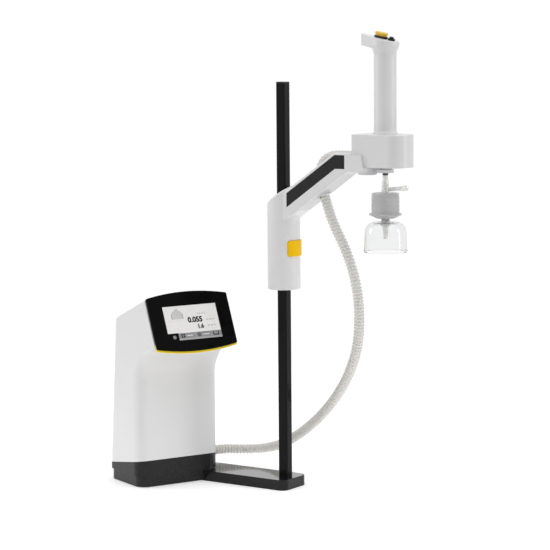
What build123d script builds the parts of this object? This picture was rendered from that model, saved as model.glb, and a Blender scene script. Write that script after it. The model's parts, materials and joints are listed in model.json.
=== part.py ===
"""Laboratory water dispensing station: display unit, foot bar, mast, sliding arm and hand-held dispenser.

The frame has +Z up, its origin on the bench under the mast, and +X along the foot bar from the display
unit to the dispenser. All sizes are millimetres.
"""

import os
from math import asin, atan, cos, radians, sin, tan

from build123d import *

# Fits
GAP = 0.1
LOOSE = 0.3

# Foot bar and mast
BAR_WIDTH = 71.0
BAR_THICK = 18.0
BAR_LEFT = -236.0
BAR_RIGHT = 28.0
BAR_MIDDLE = -9.5
BAR_CORNER = 13.0
PAD_RADIUS = 7.0
PAD_THICK = 1.2
PAD_SPOTS = [(14, -34), (14, 15), (-110, -34), (-110, 15)]
BAR_SCREW_SPOTS = [(62, -30), (66, 20), (38, 32)]
MAST_SIDE = 18.0
MAST_CORNER = 3.0
MAST_WALL = 2.0
MAST_FOOT = 5.0
MAST_TOP = 692.0
CAP_THICK = 2.5
GRUB_RADIUS = 2.9
GRUB_LENGTH = 16.0

# Display unit, in its own frame: X along its width, front face towards -Y
UNIT_AT = (-214.0, -65.0, 0.0)
UNIT_TURN = 66.0
UNIT_WIDTH = 160.0
UNIT_FRONT = -60.0
UNIT_REAR = 60.0
UNIT_CORNER = 22.0
REAR_LEAN = 0.0946
SKIRT_INSET = 3.0
SKIRT_BOTTOM = 1.0
BAND_BOTTOM = 20.0
SEAM_FRONT = 47.5
SEAM_SLOPE = 0.16
WALL = 3.0
FLARE_START = 190.0
FLARE_RADIUS = 58.0
FLARE_TURNS = (25, 45, 62, 76)
FACE_FOOT = (-121.0, 248.0)
FACE_TOP = (-84.0, 330.4)
ROOF_SLOPE = 0.397
HEAD_CORNER = 5.0
GLAND_Y = 18.0
GLAND_Z = 35.0
GLAND_REACH = 18.0
POST_SPOTS = [(-67.5, -47.5), (67.5, -47.5), (-67.5, 47.5), (67.5, 47.5)]
POST_FOOT = 23.2
POST_HEIGHT = 26.0
POST_RADIUS = 6.0
FOOT_SPOTS = [(-62, -42), (-62, 42), (8, -47)]
MANIFOLD_SPOT = (38, -26)
REAR_PANEL = (92.0, 74.0)
REAR_PANEL_UP = 52.0
REAR_PORTS = {"water_inlet": (-24.0, -14.0), "drain_outlet": (6.0, -14.0)}
PORT_RADIUS = 4.05
PORT_DEPTH = 20.0
SOCKET_SPOT = (28.0, 14.0)
DATA_SPOT = (-20.0, 16.0)

# Display panel, on the sloping face
BEZEL_HALF_WIDTH = 78.5
BEZEL_HALF_HEIGHT = 45.0
BEZEL_BOW = 8.0
BEZEL_THICK = 3.0
TRIM_THICK = 2.2
TRIM_SHOWS = 3.4
SCREEN_WIDTH = 104.0
SCREEN_HEIGHT = 61.0
SCREEN_DROP = -2.5
NOTCH = (20.0, 13.0)
KEY_RADIUS = 3.2

# Sliding arm
SLEEVE_RADIUS = 28.0
SLEEVE_BORE = 24.5
SLEEVE_BOTTOM = 342.0
BORE_TOP = 478.0
ARM_SLOPE = 0.70
ARM_HALF_WIDTH = 24.0
ARM_LEVEL = 579.0
ARM_TIP = 150.0
ROOF_AT_MAST = 504.0
ARM_TOP_AT_MAST = 498.0
ARM_UNDER_AT_MAST = 449.0
TROUGH_HALF_WIDTH = 13.0
TROUGH_FLOOR = 560.0
PANEL_DEPTH = 1.2
BUSH_HEIGHT = 20.0
BUTTON_LOW = 399.5
BUTTON_HIGH = 426.5
BUTTON_HALF_WIDTH = 19.3
BUTTON_RADIUS = 30.2
CRADLE_SCREW_SPOTS = [(-18.0, 566.0), (18.0, 566.0)]

# Hand-held dispenser
AXIS_X = 203.0
BLOCK_REAR = 155.0
BLOCK_FRONT = 250.0
BLOCK_HALF_WIDTH = 31.0
BLOCK_BOTTOM = 557.0
BLOCK_TOP = 611.0
BLOCK_NOSE = 26.0
GRIP_RADIUS = 18.8
GRIP_TOP = 738.0
HEAD_RADIUS = 23.5
BEAK_X = 166.0
BEAK_RADIUS = 8.0
NECK_TOP = 751.5
NECK_RADIUS = 22.0
HEAD_LOW = 756.5
HEAD_SLOPE = 0.21
HEAD_TOP_AT_AXIS = 767.0
CRADLE_FLOOR = (549.0, 556.8)
CRADLE_WALL = 4.0
CRADLE_TOP = 577.0
CRADLE_REACH = 186.0
DISC_X = 168.0
FLOOR_SCREW_SPOTS = [(238.0, 0.0), (191.0, 24.0), (191.0, -24.0)]
BUTTON_SPOT = (0.0, 8.4)
SEAT_HEIGHT = 3.4
KEY_LIFT = 2.0
MODE_SPOT = (0.0, -12.0)

# Filter and filling bell, hanging from the dispenser
COLLAR = (14.2, 547.5)
STEM_TOP = 543.3
FILTER_TOP = 514.0
FILTER_BOTTOM = 474.0
FILTER_RADIUS = 23.5
CAP_SKIRT = 6.5
BELL_RADIUS = 36.5
BELL_TOP = 466.5
BELL_BOTTOM = 415.5
BELL_WALL = 1.8
BELL_DOME = 22.0
BELL_THROAT = 8.3
VENT_TILT = 5.5
VENT_LENGTH = 25.0
VENT_CAP = 10.5

# Hose
HOSE_RADIUS = 9.0
HOSE_Z = 573.0
HOSE_TILT = 15.0
HOSE_SPLIT = (78.2, 0.0, 524.9)
HOSE_LEAD_OUT = 36.0
HOSE_LEAD_IN = 38.0
HOSE_LEAD_UP = 15.5
CUFF_REACH = 9.0
HOSE_LOWER = [
    (-151.5, 91.0, 32.0),
    (-118.0, 107.0, 34.0),
    (-80.0, 110.0, 45.0),
    (-34.0, 98.0, 71.0),
    (10.0, 86.0, 102.0),
    (52.0, 71.0, 139.0),
    (92.0, 57.0, 187.0),
    (122.0, 42.0, 243.0),
    (135.0, 28.0, 305.0),
    (134.0, 17.0, 363.0),
    (120.0, 8.0, 415.0),
    (103.0, 0.0, 453.0),
]
HOSE_UPPER = [
    (77.1, 0.0, 554.6),
    (86.1, 0.0, 566.4),
    (99.6, 0.0, 572.4),
    (122.0, 0.0, 573.0),
]

os.makedirs("parts", exist_ok=True)

UNIT = Plane(
    origin=UNIT_AT,
    x_dir=(cos(radians(UNIT_TURN)), sin(radians(UNIT_TURN)), 0),
    z_dir=(0, 0, 1),
)
FACE_TILT = atan((FACE_TOP[0] - FACE_FOOT[0]) / (FACE_TOP[1] - FACE_FOOT[1]))


def unit_point(x, y, z):
    """A point of the display unit's own frame, in the whole frame."""
    return UNIT.from_local_coords(Vector(x, y, z))


def unit_direction(x, y, z):
    """A direction of the display unit's own frame, in the whole frame."""
    return unit_point(x, y, z) - unit_point(0, 0, 0)


FACE = Plane(
    origin=unit_point(0, (FACE_FOOT[0] + FACE_TOP[0]) / 2, (FACE_FOOT[1] + FACE_TOP[1]) / 2),
    x_dir=unit_direction(1, 0, 0),
    z_dir=unit_direction(0, -cos(FACE_TILT), sin(FACE_TILT)),
)


def save(part, name):
    """Label a finished piece and write it to its own file."""
    part.label = name
    export_step(part, f"parts/{name}.step")


# --- Foot bar and mast ---------------------------------------------------------------------------


def screw_points():
    """Where the three screws hold the foot bar to the display unit."""
    return [unit_point(x, y, 0) for x, y in BAR_SCREW_SPOTS]


def grub_plane():
    """Where the grub screw meets the mast's rear face, facing away from it."""
    return Plane(
        origin=(0, MAST_SIDE / 2, BAR_THICK / 2), x_dir=(1, 0, 0), z_dir=(0, 1, 0)
    )


def make_foot_bar():
    with BuildPart() as foot_bar:
        with BuildSketch():
            with Locations(((BAR_LEFT + BAR_RIGHT) / 2, BAR_MIDDLE)):
                RectangleRounded(BAR_RIGHT - BAR_LEFT, BAR_WIDTH, BAR_CORNER)
        extrude(amount=BAR_THICK)
        fillet(foot_bar.faces().sort_by(Axis.Z)[-1].edges(), 1.0)
        with BuildSketch(Plane.XY.offset(MAST_FOOT)):
            RectangleRounded(MAST_SIDE + GAP, MAST_SIDE + GAP, MAST_CORNER)
        extrude(amount=BAR_THICK, mode=Mode.SUBTRACT)
        with BuildSketch(grub_plane()):
            Circle(GRUB_RADIUS + GAP)
        extrude(amount=BAR_MIDDLE + BAR_WIDTH / 2 - MAST_SIDE / 2, mode=Mode.SUBTRACT)
        with BuildSketch():
            with Locations(*[(p.X, p.Y) for p in screw_points()]):
                Circle(2.7)
        extrude(amount=BAR_THICK, mode=Mode.SUBTRACT)
        with BuildSketch():
            with Locations(*[(p.X, p.Y) for p in screw_points()]):
                Circle(5.0)
        extrude(amount=6.5, mode=Mode.SUBTRACT)
        with BuildSketch():
            with Locations(*PAD_SPOTS):
                Circle(PAD_RADIUS + GAP)
        extrude(amount=PAD_THICK, mode=Mode.SUBTRACT)
    save(foot_bar.part, "foot_bar")


def make_foot_pads():
    with BuildPart() as foot_pads:
        with BuildSketch():
            with Locations(*PAD_SPOTS):
                Circle(PAD_RADIUS)
        extrude(amount=PAD_THICK)
    save(foot_pads.part, "foot_pads")


def make_bar_screws():
    with BuildPart() as bar_screws:
        with BuildSketch(Plane.XY.offset(1.5)):
            with Locations(*[(p.X, p.Y) for p in screw_points()]):
                Circle(4.2)
        extrude(amount=5.0)
        with BuildSketch(Plane.XY.offset(6.5)):
            with Locations(*[(p.X, p.Y) for p in screw_points()]):
                Circle(2.45)
        extrude(amount=16.5)
        with BuildSketch(Plane.XY.offset(1.5)):
            with Locations(*[(p.X, p.Y) for p in screw_points()]):
                RegularPolygon(2.3, 6)
        extrude(amount=3.0, mode=Mode.SUBTRACT)
    save(bar_screws.part, "bar_screws")


def make_mast():
    with BuildPart() as mast:
        with BuildSketch(Plane.XY.offset(MAST_FOOT)):
            RectangleRounded(MAST_SIDE, MAST_SIDE, MAST_CORNER)
            inner = MAST_SIDE - 2 * MAST_WALL
            RectangleRounded(inner, inner, 1.5, mode=Mode.SUBTRACT)
        extrude(amount=MAST_TOP - MAST_FOOT)
    save(mast.part, "mast")


def make_mast_cap():
    plug = MAST_SIDE - 2 * MAST_WALL - 2 * GAP
    with BuildPart() as mast_cap:
        with BuildSketch(Plane.XY.offset(MAST_TOP)):
            RectangleRounded(MAST_SIDE, MAST_SIDE, MAST_CORNER)
        extrude(amount=CAP_THICK)
        fillet(mast_cap.faces().sort_by(Axis.Z)[-1].edges(), 1.2)
        with BuildSketch(Plane.XY.offset(MAST_TOP)):
            RectangleRounded(plug, plug, 1.5)
        extrude(amount=-10.0)
    save(mast_cap.part, "mast_cap")


def make_mast_grub_screw():
    with BuildPart() as grub_screw:
        with BuildSketch(grub_plane()):
            Circle(GRUB_RADIUS)
        extrude(amount=GRUB_LENGTH)
        with BuildSketch(grub_plane().offset(GRUB_LENGTH)):
            RegularPolygon(1.7, 6)
        extrude(amount=-4.0, mode=Mode.SUBTRACT)
    save(grub_screw.part, "mast_grub_screw")


# --- Display unit --------------------------------------------------------------------------------


def rear_y(z):
    """The unit's rear face leans forward as it rises."""
    return UNIT_REAR - REAR_LEAN * max(z - BAND_BOTTOM, 0)


def seam_plane():
    """The joint's plane, facing up."""
    return Plane(
        origin=unit_point(0, UNIT_FRONT, SEAM_FRONT),
        x_dir=unit_direction(1, 0, 0),
        z_dir=unit_direction(0, SEAM_SLOPE, 1),
    )


def roof_plane(drop):
    """The unit's sloping top, lowered by a drop."""
    return Plane(
        origin=unit_point(0, FACE_TOP[0], FACE_TOP[1] - drop),
        x_dir=unit_direction(1, 0, 0),
        z_dir=unit_direction(0, ROOF_SLOPE, 1),
    )


def plan_section(z, front, corner, inset):
    """One level of the housing: a rectangle with its own radius on the front corners."""
    rear = rear_y(z)
    with BuildSketch(UNIT.offset(z)) as level:
        with Locations((0, (front + rear) / 2)):
            Rectangle(UNIT_WIDTH - 2 * inset, rear - front - 2 * inset)
        fillet(level.vertices().group_by(Axis.Y)[0], max(corner - inset, 1.0))
        fillet(level.vertices().group_by(Axis.Y)[-1], UNIT_CORNER - inset)
    return level.sketch


def make_housing_form(inset):
    """The housing as one solid block, smaller by the inset all round."""
    foot = plan_section(BAND_BOTTOM, UNIT_FRONT, UNIT_CORNER, inset)
    waist = plan_section(FLARE_START, UNIT_FRONT, UNIT_CORNER, inset)
    flare_sections = [waist]
    for turn in FLARE_TURNS:
        front = UNIT_FRONT - FLARE_RADIUS * (1 - cos(radians(turn)))
        corner = UNIT_CORNER - (UNIT_CORNER - HEAD_CORNER) * turn / FLARE_TURNS[-1]
        z = FLARE_START + FLARE_RADIUS * sin(radians(turn))
        flare_sections.append(plan_section(z, front, corner, inset))
    chin = plan_section(FACE_FOOT[1] + inset / 2, FACE_FOOT[0], HEAD_CORNER, inset)
    crown = plan_section(FACE_TOP[1] + 15, FACE_FOOT[0], HEAD_CORNER, inset)
    with BuildPart() as lower:
        loft(sections=[foot, waist])
    with BuildPart() as flare:
        loft(sections=flare_sections)
    with BuildPart() as brow:
        loft(sections=[flare_sections[-1], chin])
    with BuildPart() as head:
        loft(sections=[chin, crown])
    with BuildPart() as form:
        add(lower.part)
        add(flare.part)
        add(brow.part)
        add(head.part)
        split(bisect_by=roof_plane(inset), keep=Keep.BOTTOM)
        split(bisect_by=FACE.offset(-inset), keep=Keep.BOTTOM)
    return form.part


def make_unit_shell():
    outer = make_housing_form(0)
    inner = make_housing_form(WALL)
    with BuildPart() as unit_shell:
        add(outer)
        roof_edges = unit_shell.faces().sort_by(Axis.Z)[-1].edges()
        fillet(roof_edges.sort_by(Axis.Z)[:-1], 5.0)
        add(inner, mode=Mode.SUBTRACT)
        split(bisect_by=seam_plane(), keep=Keep.TOP)
        with BuildSketch(UNIT.offset(POST_FOOT)):
            with Locations(*POST_SPOTS):
                Circle(POST_RADIUS)
        extrude(amount=POST_HEIGHT)
        with BuildSketch(UNIT.offset(POST_FOOT)):
            with Locations(*POST_SPOTS):
                Circle(1.5)
        extrude(amount=POST_HEIGHT - 2.0, mode=Mode.SUBTRACT)
        with BuildSketch(FACE.offset(1)):
            with Locations((0, SCREEN_DROP)):
                Rectangle(SCREEN_WIDTH + 18, SCREEN_HEIGHT + 9)
        extrude(amount=-WALL - 2, mode=Mode.SUBTRACT)
        with BuildSketch(gland_plane()):
            Circle(10.0)
        extrude(amount=-WALL - 4, mode=Mode.SUBTRACT)
        with BuildSketch(rear_plane()):
            with Locations((0, REAR_PANEL_UP)):
                Rectangle(REAR_PANEL[0] - 10, REAR_PANEL[1] - 10)
        extrude(amount=-WALL - 4, mode=Mode.SUBTRACT)
    save(unit_shell.part, "unit_shell")


def make_unit_base():
    width, depth = UNIT_WIDTH, UNIT_REAR - UNIT_FRONT
    skirt = SKIRT_INSET
    with BuildPart() as unit_base:
        with BuildSketch(UNIT.offset(SKIRT_BOTTOM)):
            RectangleRounded(width - 2 * skirt, depth - 2 * skirt, UNIT_CORNER - skirt)
        extrude(amount=BAND_BOTTOM - SKIRT_BOTTOM)
        with BuildSketch(UNIT.offset(BAND_BOTTOM)):
            RectangleRounded(width, depth, UNIT_CORNER)
        extrude(amount=40.0)
        split(bisect_by=seam_plane(), keep=Keep.BOTTOM)
        with BuildSketch(UNIT.offset(BAND_BOTTOM + 4)):
            RectangleRounded(width - 2 * WALL, depth - 2 * WALL, UNIT_CORNER - WALL)
        extrude(amount=40.0, mode=Mode.SUBTRACT)
        with BuildSketch(UNIT.offset(SKIRT_BOTTOM)):
            RectangleRounded(width - 12, depth - 12, UNIT_CORNER - 6)
        extrude(amount=BAND_BOTTOM - SKIRT_BOTTOM, mode=Mode.SUBTRACT)
        with BuildSketch(UNIT.offset(SKIRT_BOTTOM)):
            with Locations(*FOOT_SPOTS):
                Circle(8.0)
        extrude(amount=BAND_BOTTOM - SKIRT_BOTTOM)
        with BuildSketch(UNIT.offset(SKIRT_BOTTOM)):
            with Locations(*FOOT_SPOTS):
                Circle(6.0 + GAP)
        extrude(amount=2.0, mode=Mode.SUBTRACT)
        with BuildSketch(Plane.XY.offset(SKIRT_BOTTOM)):
            with Locations(((BAR_LEFT + BAR_RIGHT) / 2, BAR_MIDDLE)):
                Rectangle(BAR_RIGHT - BAR_LEFT + 2, BAR_WIDTH + 2 * LOOSE)
        extrude(amount=BAR_THICK - SKIRT_BOTTOM, mode=Mode.SUBTRACT)
        with BuildSketch(Plane.XY.offset(BAR_THICK)):
            with Locations(*[(p.X, p.Y) for p in screw_points()]):
                Circle(7.0)
        extrude(amount=BAND_BOTTOM + 4 - BAR_THICK)
        with BuildSketch(Plane.XY.offset(BAR_THICK)):
            with Locations(*[(p.X, p.Y) for p in screw_points()]):
                Circle(2.5)
        extrude(amount=5.2, mode=Mode.SUBTRACT)
        with BuildSketch(UNIT.offset(POST_FOOT - GAP)):
            with Locations(*POST_SPOTS):
                Circle(POST_RADIUS + LOOSE)
        extrude(amount=40.0, mode=Mode.SUBTRACT)
        with BuildSketch(UNIT.offset(BAND_BOTTOM - 2)):
            with Locations(*POST_SPOTS):
                Circle(1.7)
        extrude(amount=POST_FOOT - BAND_BOTTOM + 3, mode=Mode.SUBTRACT)
        with BuildSketch(UNIT.offset(BAND_BOTTOM - 2)):
            with Locations(*POST_SPOTS):
                Circle(3.1)
        extrude(amount=2.6, mode=Mode.SUBTRACT)
        with BuildSketch(gland_plane()):
            Circle(10.0)
        extrude(amount=-WALL - 4, mode=Mode.SUBTRACT)
    save(unit_base.part, "unit_base")


def make_base_feet():
    with BuildPart() as base_feet:
        with BuildSketch(UNIT):
            with Locations(*FOOT_SPOTS):
                Circle(6.0)
        extrude(amount=SKIRT_BOTTOM + 2.0)
    save(base_feet.part, "base_feet")


def make_shell_screws():
    with BuildPart() as shell_screws:
        with BuildSketch(UNIT.offset(BAND_BOTTOM - 1.5)):
            with Locations(*POST_SPOTS):
                Circle(2.8)
        extrude(amount=2.0)
        with BuildSketch(UNIT.offset(BAND_BOTTOM + 0.5)):
            with Locations(*POST_SPOTS):
                Circle(1.4)
        extrude(amount=POST_HEIGHT)
    save(shell_screws.part, "shell_screws")


def face_outline(half_width, half_height, drop):
    """A rectangle whose top and bottom edges bow outwards, its bottom edge lowered by the drop."""
    foot = -half_height - drop
    with BuildSketch() as outline:
        with BuildLine():
            ThreePointArc(
                (-half_width, half_height), (0, half_height + BEZEL_BOW), (half_width, half_height)
            )
            Line((half_width, half_height), (half_width, foot))
            ThreePointArc((half_width, foot), (0, foot - BEZEL_BOW), (-half_width, foot))
            Line((-half_width, foot), (-half_width, half_height))
        make_face()
    return outline.sketch


def window_outline(clearance):
    """The screen's outline, with the notch for the home key at its lower left."""
    left = -SCREEN_WIDTH / 2 - clearance
    right = SCREEN_WIDTH / 2 + clearance
    low = SCREEN_DROP - SCREEN_HEIGHT / 2 - clearance
    high = SCREEN_DROP + SCREEN_HEIGHT / 2 + clearance
    step_x = -SCREEN_WIDTH / 2 + NOTCH[0] - clearance
    step_y = SCREEN_DROP - SCREEN_HEIGHT / 2 + NOTCH[1] - clearance
    with BuildSketch() as outline:
        with BuildLine():
            Polyline(
                (left, high), (right, high), (right, low), (step_x, low), (step_x, step_y), (left, step_y),
                close=True,
            )
        make_face()
    return outline.sketch


def key_spot():
    """Centre of the round home key on the display face."""
    x = -SCREEN_WIDTH / 2 + NOTCH[0] * 0.58
    return (x, SCREEN_DROP - SCREEN_HEIGHT / 2 + NOTCH[1] * 0.46)


def make_display_trim():
    with BuildPart() as display_trim:
        with BuildSketch(FACE) as plate:
            add(face_outline(BEZEL_HALF_WIDTH - 0.4, BEZEL_HALF_HEIGHT - 0.4, TRIM_SHOWS))
            fillet(plate.vertices(), 2.0)
            with Locations((0, SCREEN_DROP)):
                Rectangle(SCREEN_WIDTH + 18, SCREEN_HEIGHT + 9, mode=Mode.SUBTRACT)
        extrude(amount=TRIM_THICK)
    save(display_trim.part, "display_trim")


def make_display_bezel():
    with BuildPart() as display_bezel:
        with BuildSketch(FACE.offset(TRIM_THICK)) as plate:
            add(face_outline(BEZEL_HALF_WIDTH, BEZEL_HALF_HEIGHT, 0))
            fillet(plate.vertices(), 2.5)
        extrude(amount=BEZEL_THICK)
        front_face = display_bezel.faces().filter_by(FACE).sort_by(SortBy.DISTANCE)
        rim = [f for f in front_face if f.center().Z > FACE.origin.Z + TRIM_THICK * sin(FACE_TILT)]
        fillet(rim[0].edges(), 1.0)
        with BuildSketch(FACE.offset(TRIM_THICK)):
            add(window_outline(GAP))
        extrude(amount=BEZEL_THICK, mode=Mode.SUBTRACT)
        with BuildSketch(FACE.offset(TRIM_THICK)):
            with Locations(key_spot()):
                Circle(KEY_RADIUS + GAP)
        extrude(amount=BEZEL_THICK, mode=Mode.SUBTRACT)
    save(display_bezel.part, "display_bezel")


def make_display_screen():
    with BuildPart() as display_screen:
        with BuildSketch(FACE.offset(-4.0)):
            add(window_outline(0))
        extrude(amount=4.0 + TRIM_THICK + BEZEL_THICK - 0.4)
    save(display_screen.part, "display_screen")


def make_home_key():
    with BuildPart() as home_key:
        with BuildSketch(FACE.offset(TRIM_THICK - 1.0)):
            with Locations(key_spot()):
                Circle(KEY_RADIUS)
        extrude(amount=1.0 + BEZEL_THICK + 0.2)
    save(home_key.part, "home_key")


def make_control_board():
    with BuildPart() as control_board:
        with BuildSketch(UNIT.offset(BAND_BOTTOM + 4)):
            with Locations((-18, -2)):
                Rectangle(96, 1.6)
        extrude(amount=132.0)
        with BuildSketch(UNIT.offset(60)):
            with Locations((-44, 2.8), (-8, 2.8), (18, 2.8)):
                Rectangle(18, 8)
        extrude(amount=26.0)
        with BuildSketch(UNIT.offset(112)):
            with Locations((-30, 4.3), (6, 4.3)):
                Rectangle(22, 11)
        extrude(amount=18.0)
    save(control_board.part, "control_board")


def make_water_manifold():
    with BuildPart() as water_manifold:
        with BuildSketch(UNIT.offset(BAND_BOTTOM + 4)):
            with Locations(MANIFOLD_SPOT):
                RectangleRounded(46, 34, 4)
        extrude(amount=30.0)
        with BuildSketch(UNIT.offset(BAND_BOTTOM + 34)):
            with Locations((MANIFOLD_SPOT[0] - 12, MANIFOLD_SPOT[1])):
                Circle(5.0)
        extrude(amount=12.0)
    save(water_manifold.part, "water_manifold")


def make_inlet_valve():
    with BuildPart() as inlet_valve:
        with BuildSketch(UNIT.offset(BAND_BOTTOM + 34)):
            with Locations((MANIFOLD_SPOT[0] + 8, MANIFOLD_SPOT[1])):
                Circle(13.0)
        extrude(amount=38.0)
        with BuildSketch(UNIT.offset(BAND_BOTTOM + 72)):
            with Locations((MANIFOLD_SPOT[0] + 8, MANIFOLD_SPOT[1])):
                RegularPolygon(7.0, 6)
        extrude(amount=6.0)
    save(inlet_valve.part, "inlet_valve")


def rear_plane():
    """The unit's leaning rear face: X across, Y up the face, its origin at the foot of the white shell."""
    return Plane(
        origin=unit_point(0, UNIT_REAR, BAND_BOTTOM),
        x_dir=unit_direction(-1, 0, 0),
        z_dir=unit_direction(0, 1, REAR_LEAN),
    )


def make_rear_panel():
    with BuildPart() as rear_panel:
        with BuildSketch(rear_plane()):
            with Locations((0, REAR_PANEL_UP)):
                RectangleRounded(*REAR_PANEL, 6)
        extrude(amount=2.0)
        with BuildSketch(rear_plane()):
            with Locations(*[(x, REAR_PANEL_UP + y) for x, y in REAR_PORTS.values()]):
                Circle(8.0 + GAP)
            with Locations((SOCKET_SPOT[0], REAR_PANEL_UP + SOCKET_SPOT[1])):
                Rectangle(22 + 2 * GAP, 16 + 2 * GAP)
            with Locations((DATA_SPOT[0], REAR_PANEL_UP + DATA_SPOT[1])):
                Rectangle(16 + 2 * GAP, 14 + 2 * GAP)
        extrude(amount=2.0, mode=Mode.SUBTRACT)
    save(rear_panel.part, "rear_panel")


def make_water_port(name):
    """A push-fit fitting for an 8 mm tube."""
    x, y = REAR_PORTS[name]
    with BuildPart() as port:
        with BuildSketch(rear_plane()):
            with Locations((x, REAR_PANEL_UP + y)):
                Circle(8.0)
        extrude(amount=12.0)
        with BuildSketch(rear_plane()):
            with Locations((x, REAR_PANEL_UP + y)):
                Circle(6.5)
        extrude(amount=-14.0)
        with BuildSketch(rear_plane().offset(2.0)):
            with Locations((x, REAR_PANEL_UP + y)):
                Circle(10.5)
        extrude(amount=3.0)
        with BuildSketch(rear_plane().offset(12.0)):
            with Locations((x, REAR_PANEL_UP + y)):
                Circle(PORT_RADIUS)
        extrude(amount=-PORT_DEPTH, mode=Mode.SUBTRACT)
    save(port.part, name)


def make_socket(name, spot, outside, inside):
    """A rectangular socket set in the rear panel."""
    with BuildPart() as socket:
        with BuildSketch(rear_plane().offset(3.0)):
            with Locations((spot[0], REAR_PANEL_UP + spot[1])):
                RectangleRounded(*outside, 1.5)
        extrude(amount=-16.0)
        with BuildSketch(rear_plane().offset(3.0)):
            with Locations((spot[0], REAR_PANEL_UP + spot[1])):
                RectangleRounded(*inside, 1.0)
        extrude(amount=-11.0, mode=Mode.SUBTRACT)
    save(socket.part, name)


def gland_plane():
    """Where the hose leaves the unit's right side, facing outwards."""
    return Plane(
        origin=unit_point(UNIT_WIDTH / 2, GLAND_Y, GLAND_Z),
        x_dir=unit_direction(0, 1, 0),
        z_dir=unit_direction(1, 0, 0),
    )


def make_hose_gland():
    with BuildPart() as hose_gland:
        with BuildSketch(gland_plane()):
            Circle(13.5)
        extrude(amount=4.0)
        fillet(hose_gland.faces().sort_by(Axis.Y)[-1].edges(), 1.0)
        with BuildSketch(gland_plane().offset(4.0)):
            Circle(11.5)
        extrude(amount=GLAND_REACH - 4.0)
        with BuildSketch(gland_plane()):
            Circle(10.0 - GAP)
        extrude(amount=-WALL - 7.0)
        with BuildSketch(gland_plane().offset(GLAND_REACH)):
            Circle(6.5)
        extrude(amount=-GLAND_REACH - WALL - 7.0, mode=Mode.SUBTRACT)
    save(hose_gland.part, "hose_gland")


# --- Sliding arm ---------------------------------------------------------------------------------


def arm_top(x):
    """Height of the arm's upper edge."""
    return min(ARM_TOP_AT_MAST + ARM_SLOPE * x, ARM_LEVEL)


def arm_under(x):
    """Height of the arm's lower edge."""
    return ARM_UNDER_AT_MAST + ARM_SLOPE * x


ARM_BEND = (ARM_LEVEL - ARM_TOP_AT_MAST) / ARM_SLOPE
GUIDE_AXIS = Vector(-sin(radians(HOSE_TILT)), 0, cos(radians(HOSE_TILT)))
GUIDE = Plane(origin=HOSE_SPLIT, x_dir=(0, 1, 0), z_dir=GUIDE_AXIS)


def sleeve_roof():
    """The slanting plane that ends the sleeve, facing up."""
    return Plane(origin=(0, 0, ROOF_AT_MAST), x_dir=(0, 1, 0), z_dir=(-ARM_SLOPE, 0, 1))


def panel_outline():
    """The side panel's outline, drawn on X and Z."""
    left, right = 22.0, ARM_TIP - 12.0
    top_gap, height = 5.5, 24.0
    bend = (ARM_LEVEL - 3.5 - ARM_TOP_AT_MAST + top_gap) / ARM_SLOPE
    with BuildSketch() as outline:
        with BuildLine():
            Polyline(
                (left, arm_top(left) - top_gap),
                (bend, ARM_LEVEL - 3.5),
                (right, ARM_LEVEL - 3.5),
                (right, ARM_LEVEL - 3.5 - height + 1),
                (bend + 1, ARM_LEVEL - 3.5 - height + 1),
                (left, arm_top(left) - top_gap - height),
                close=True,
            )
        make_face()
    return outline.sketch


def make_arm_beam():
    """The sloping beam before it joins the sleeve."""
    tip_low = arm_under(ARM_TIP - 8.0)
    with BuildPart() as beam:
        with BuildSketch(Plane.XZ):
            with BuildLine():
                Polyline(
                    (6.0, arm_top(6.0)),
                    (ARM_BEND, ARM_LEVEL),
                    (ARM_TIP, ARM_LEVEL),
                    (ARM_TIP, tip_low + 3.0),
                    (ARM_TIP - 8.0, tip_low),
                    (6.0, arm_under(6.0)),
                    close=True,
                )
            make_face()
        extrude(amount=ARM_HALF_WIDTH, both=True)
        side_rims = beam.faces().filter_by(Axis.Y).edges()
        fillet(side_rims.filter_by(lambda e: e.center().X > 20), 3.0)
    return beam.part


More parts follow.
